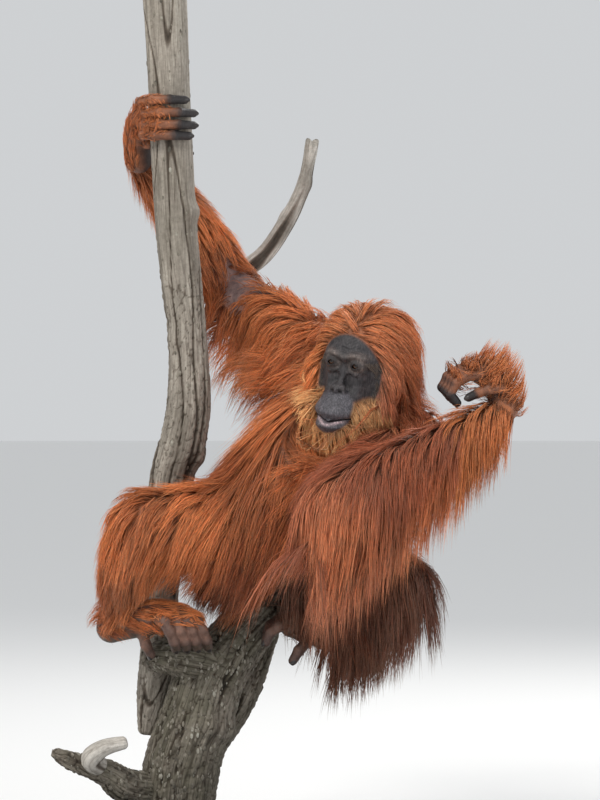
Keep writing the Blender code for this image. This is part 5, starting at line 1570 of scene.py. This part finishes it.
def hideColours():  # bare hide: dark face, bluish muzzle, pale inner lip, black finger ends
    points = vertexArray(skin.data)
    names, place, _, _, local = labelled(points)
    x, y, z = local.T
    bare, muzzle, _ = faceZones(local)
    head = (names == "head").astype(float)
    digit = np.isin(names, tuple(hands)).astype(float)
    toes = np.isin(names, ("foot_right", "foot_left")).astype(float)
    front = head * (y > -0.03)
    marks = [("face", np.clip(head * np.maximum(bare, muzzle), 0, 1)), ("muzzle", muzzle * head * 0.9)]
    for side in (-1.0, 1.0):
        reach = np.sqrt(((x - side * 0.0235) / 1.15) ** 2 + (z - 0.001) ** 2)
        arch = z - 0.0175 + 8.0 * (x - side * 0.023) ** 2
        marks += [
            # painted shade in the eye pit
            ("socket", np.clip((0.021 - reach) / 0.008, 0, 1) * front * 0.85),
            # painted highlight on the brow ridge
            ("brow", np.exp(-(((x - side * 0.023) / 0.017) ** 2 + (arch / 0.0045) ** 2)) * front * 0.8),
            ("lid", np.exp(-((reach - 0.0115) / 0.0028) ** 2) * front * 0.8),
            ("pouch", np.exp(-(((x - side * 0.025) / 0.013) ** 2 + ((z + 0.019) / 0.006) ** 2)) * front * 0.6)]
    for side in (-1.0, 1.0):
        # painted shade in the nostril holes
        nostrilShade = np.exp(-(((x - side * 0.0070) / 0.0045) ** 2 + ((z + 0.0445) / 0.0040) ** 2))
        marks.append(("nostrilShade", nostrilShade * head * (y > 0.005)))
    lip = np.exp(-((z - mouthLine(x) + 0.0042) / 0.0026) ** 2) * np.clip((0.029 - np.abs(x)) / 0.006, 0, 1)
    marks += [("lip", lip * (y > 0.0) * head * 0.95), ("digit", digit * 0.7), ("toe", toes * 0.8),
              ("end", (digit - 0.55 * toes) * np.clip((place - 1.66) / 0.10, 0, 1))]
    normals = np.zeros(len(points) * 3, np.float32)
    skin.data.vertices.foreach_get("normal", normals)
    normals = normals.reshape(-1, 3)
    for label, (outward, _) in backs.items():
        inner = np.clip(-(normals @ unit(np.array(outward))) * 2.0 - 0.3, 0, 1) * (names == label)
        marks.append(("sole" if label.startswith("foot") else "palm", inner * 0.9))
    # the coat's colours at half strength under the hair, with their painted light and shade
    colour = coatColour(points, names, local) * 0.50
    colour = mixed(colour, thinPatch["hide"], patchShare(points) * 0.9)
    for tone, share in marks:
        colour = mixed(colour, hideTones[tone], share)
    setAttribute(skin.data, "hideColour", "FLOAT_COLOR", np.clip(colour, 0, 1))
    setAttribute(skin.data, "headPlace", "FLOAT_VECTOR", local)
    setAttribute(skin.data, "faceShare", "FLOAT", np.clip(np.maximum(bare, muzzle) * head, 0, 1) * 0.75)


hideColours()


def dress(thing, material):
    thing.data.materials.clear()
    thing.data.materials.append(material)


hair, hide = hairMaterial(), hideMaterial()
for piece in coatPieces:
    dress(piece, hair)
dress(skin, hide)
dress(eyePiece, eyeMaterial())
dress(nailPiece, nailMaterial())
paleWood = woodMaterial("weatheredPole", (0.500, 0.455, 0.390), (0.210, 0.182, 0.150),
                        (0.150, 0.135, 0.105, 0.35), 0.2)
roughWood = woodMaterial("mossyBark", (0.330, 0.292, 0.240), (0.120, 0.102, 0.082),
                         (0.085, 0.088, 0.050, 0.45), 1.0)
boneWood = woodMaterial("bleachedBranch", (0.840, 0.800, 0.740), (0.440, 0.405, 0.355),
                        (0.240, 0.220, 0.185, 0.60), 0.3)
woodCoats = {"perch_pole": paleWood, "perch_side_branch": boneWood, "perch_short_log": boneWood}
for label, piece in woodPieces.items():
    dress(piece, woodCoats.get(label, roughWood))
chips = flakeTree(chipMaterial())
chipShares = {"perch_bough": 1.0, "perch_burl": 1.3, "perch_low_stub": 1.0, "perch_pole": 0.22}
flakePieces = {label: makeFlakes(label, chips, flakes["density"] * share)
               for label, share in chipShares.items()}
enamel = standMaterial()
for label in ("stand_base", "stand_rod_1", "stand_rod_2"):
    dress(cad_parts[label], enamel)
report("materials")


# camera, floor and light
camera = bpy.data.objects.new("camera", bpy.data.cameras.new("camera"))
bpy.context.scene.collection.objects.link(camera)
camera.location = (0.0, -6.0, 0.774)
camera.rotation_euler = (math.radians(90), 0.0, 0.0)
camera.data.sensor_width = 36
camera.data.lens = 157
camera.data.clip_end = 100
bpy.context.scene.camera = camera


def areaLight(name, place, target, size, power, colour=(1.0, 1.0, 1.0)):
    lamp = bpy.data.lights.new(name, "AREA")
    lamp.shape = "DISK"
    lamp.size = size
    lamp.energy = power
    lamp.color = colour
    thing = bpy.data.objects.new(name, lamp)
    thing.location = place
    thing.rotation_euler = (Vector(target) - Vector(place)).to_track_quat("-Z", "Y").to_euler()
    bpy.context.scene.collection.objects.link(thing)


studio = {  # place, target, size, power and colour of each light
    "keyLight": ((-2.0, -3.0, 4.2), (0, 0, 0.8), 1.8, 125.0, (1.0, 0.97, 0.93)),
    "fillLight": ((3.2, -3.4, 1.8), (0, 0, 0.7), 2.4, 42.0, (0.93, 0.96, 1.0)),
    "rimLight": ((1.6, 3.2, 3.4), (0, 0, 0.9), 1.6, 75.0, (1.0, 0.98, 0.95)),
}
skyStrength = 0.72
for lightName, settings in studio.items():
    areaLight(lightName, *settings)
world = bpy.data.worlds.new("studioSky")
world.use_nodes = True
setSockets(world.node_tree.nodes["Background"], Color=(0.86, 0.88, 0.90, 1.0), Strength=skyStrength)
bpy.context.scene.world = world
bpy.context.scene.view_settings.view_transform = "Standard"

floorSides, floorReach = 48, 60.0
turns = [k * math.pi / (floorSides / 2) for k in range(floorSides)]
edge = [(floorReach * math.cos(turn), floorReach * math.sin(turn), 0.0) for turn in turns]
floor = meshFrom("floor", edge, [tuple(range(floorSides))], False, False)
paper, _, paperShader = newMaterial("paleFloor")
setSockets(paperShader, Base_Color=(0.88, 0.88, 0.875, 1.0), Roughness=0.9)
dress(floor, paper)

# ties to the frame
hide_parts("head", "neck", "torso", "upper_arm_right", "forearm_right", "upper_arm_left", "forearm_left",
            "thigh_right", "shin_right", "thigh_left", "shin_left", "hand_right", "hand_left", "foot_right",
            "foot_left", "ear_right", "ear_left")
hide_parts("eye_right", "eye_left")
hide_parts(*["nail_%s_%d" % (label, k + 1) for label in hands for k in range(5)])
for label, piece in woodPieces.items():
    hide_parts(label)
    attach(piece, "root")
for piece in flakePieces.values():
    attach(piece, "root")
for piece in coatPieces:
    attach(piece, "root")
for piece in (skin, eyePiece, nailPiece):
    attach(piece, "root")
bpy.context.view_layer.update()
report("done")
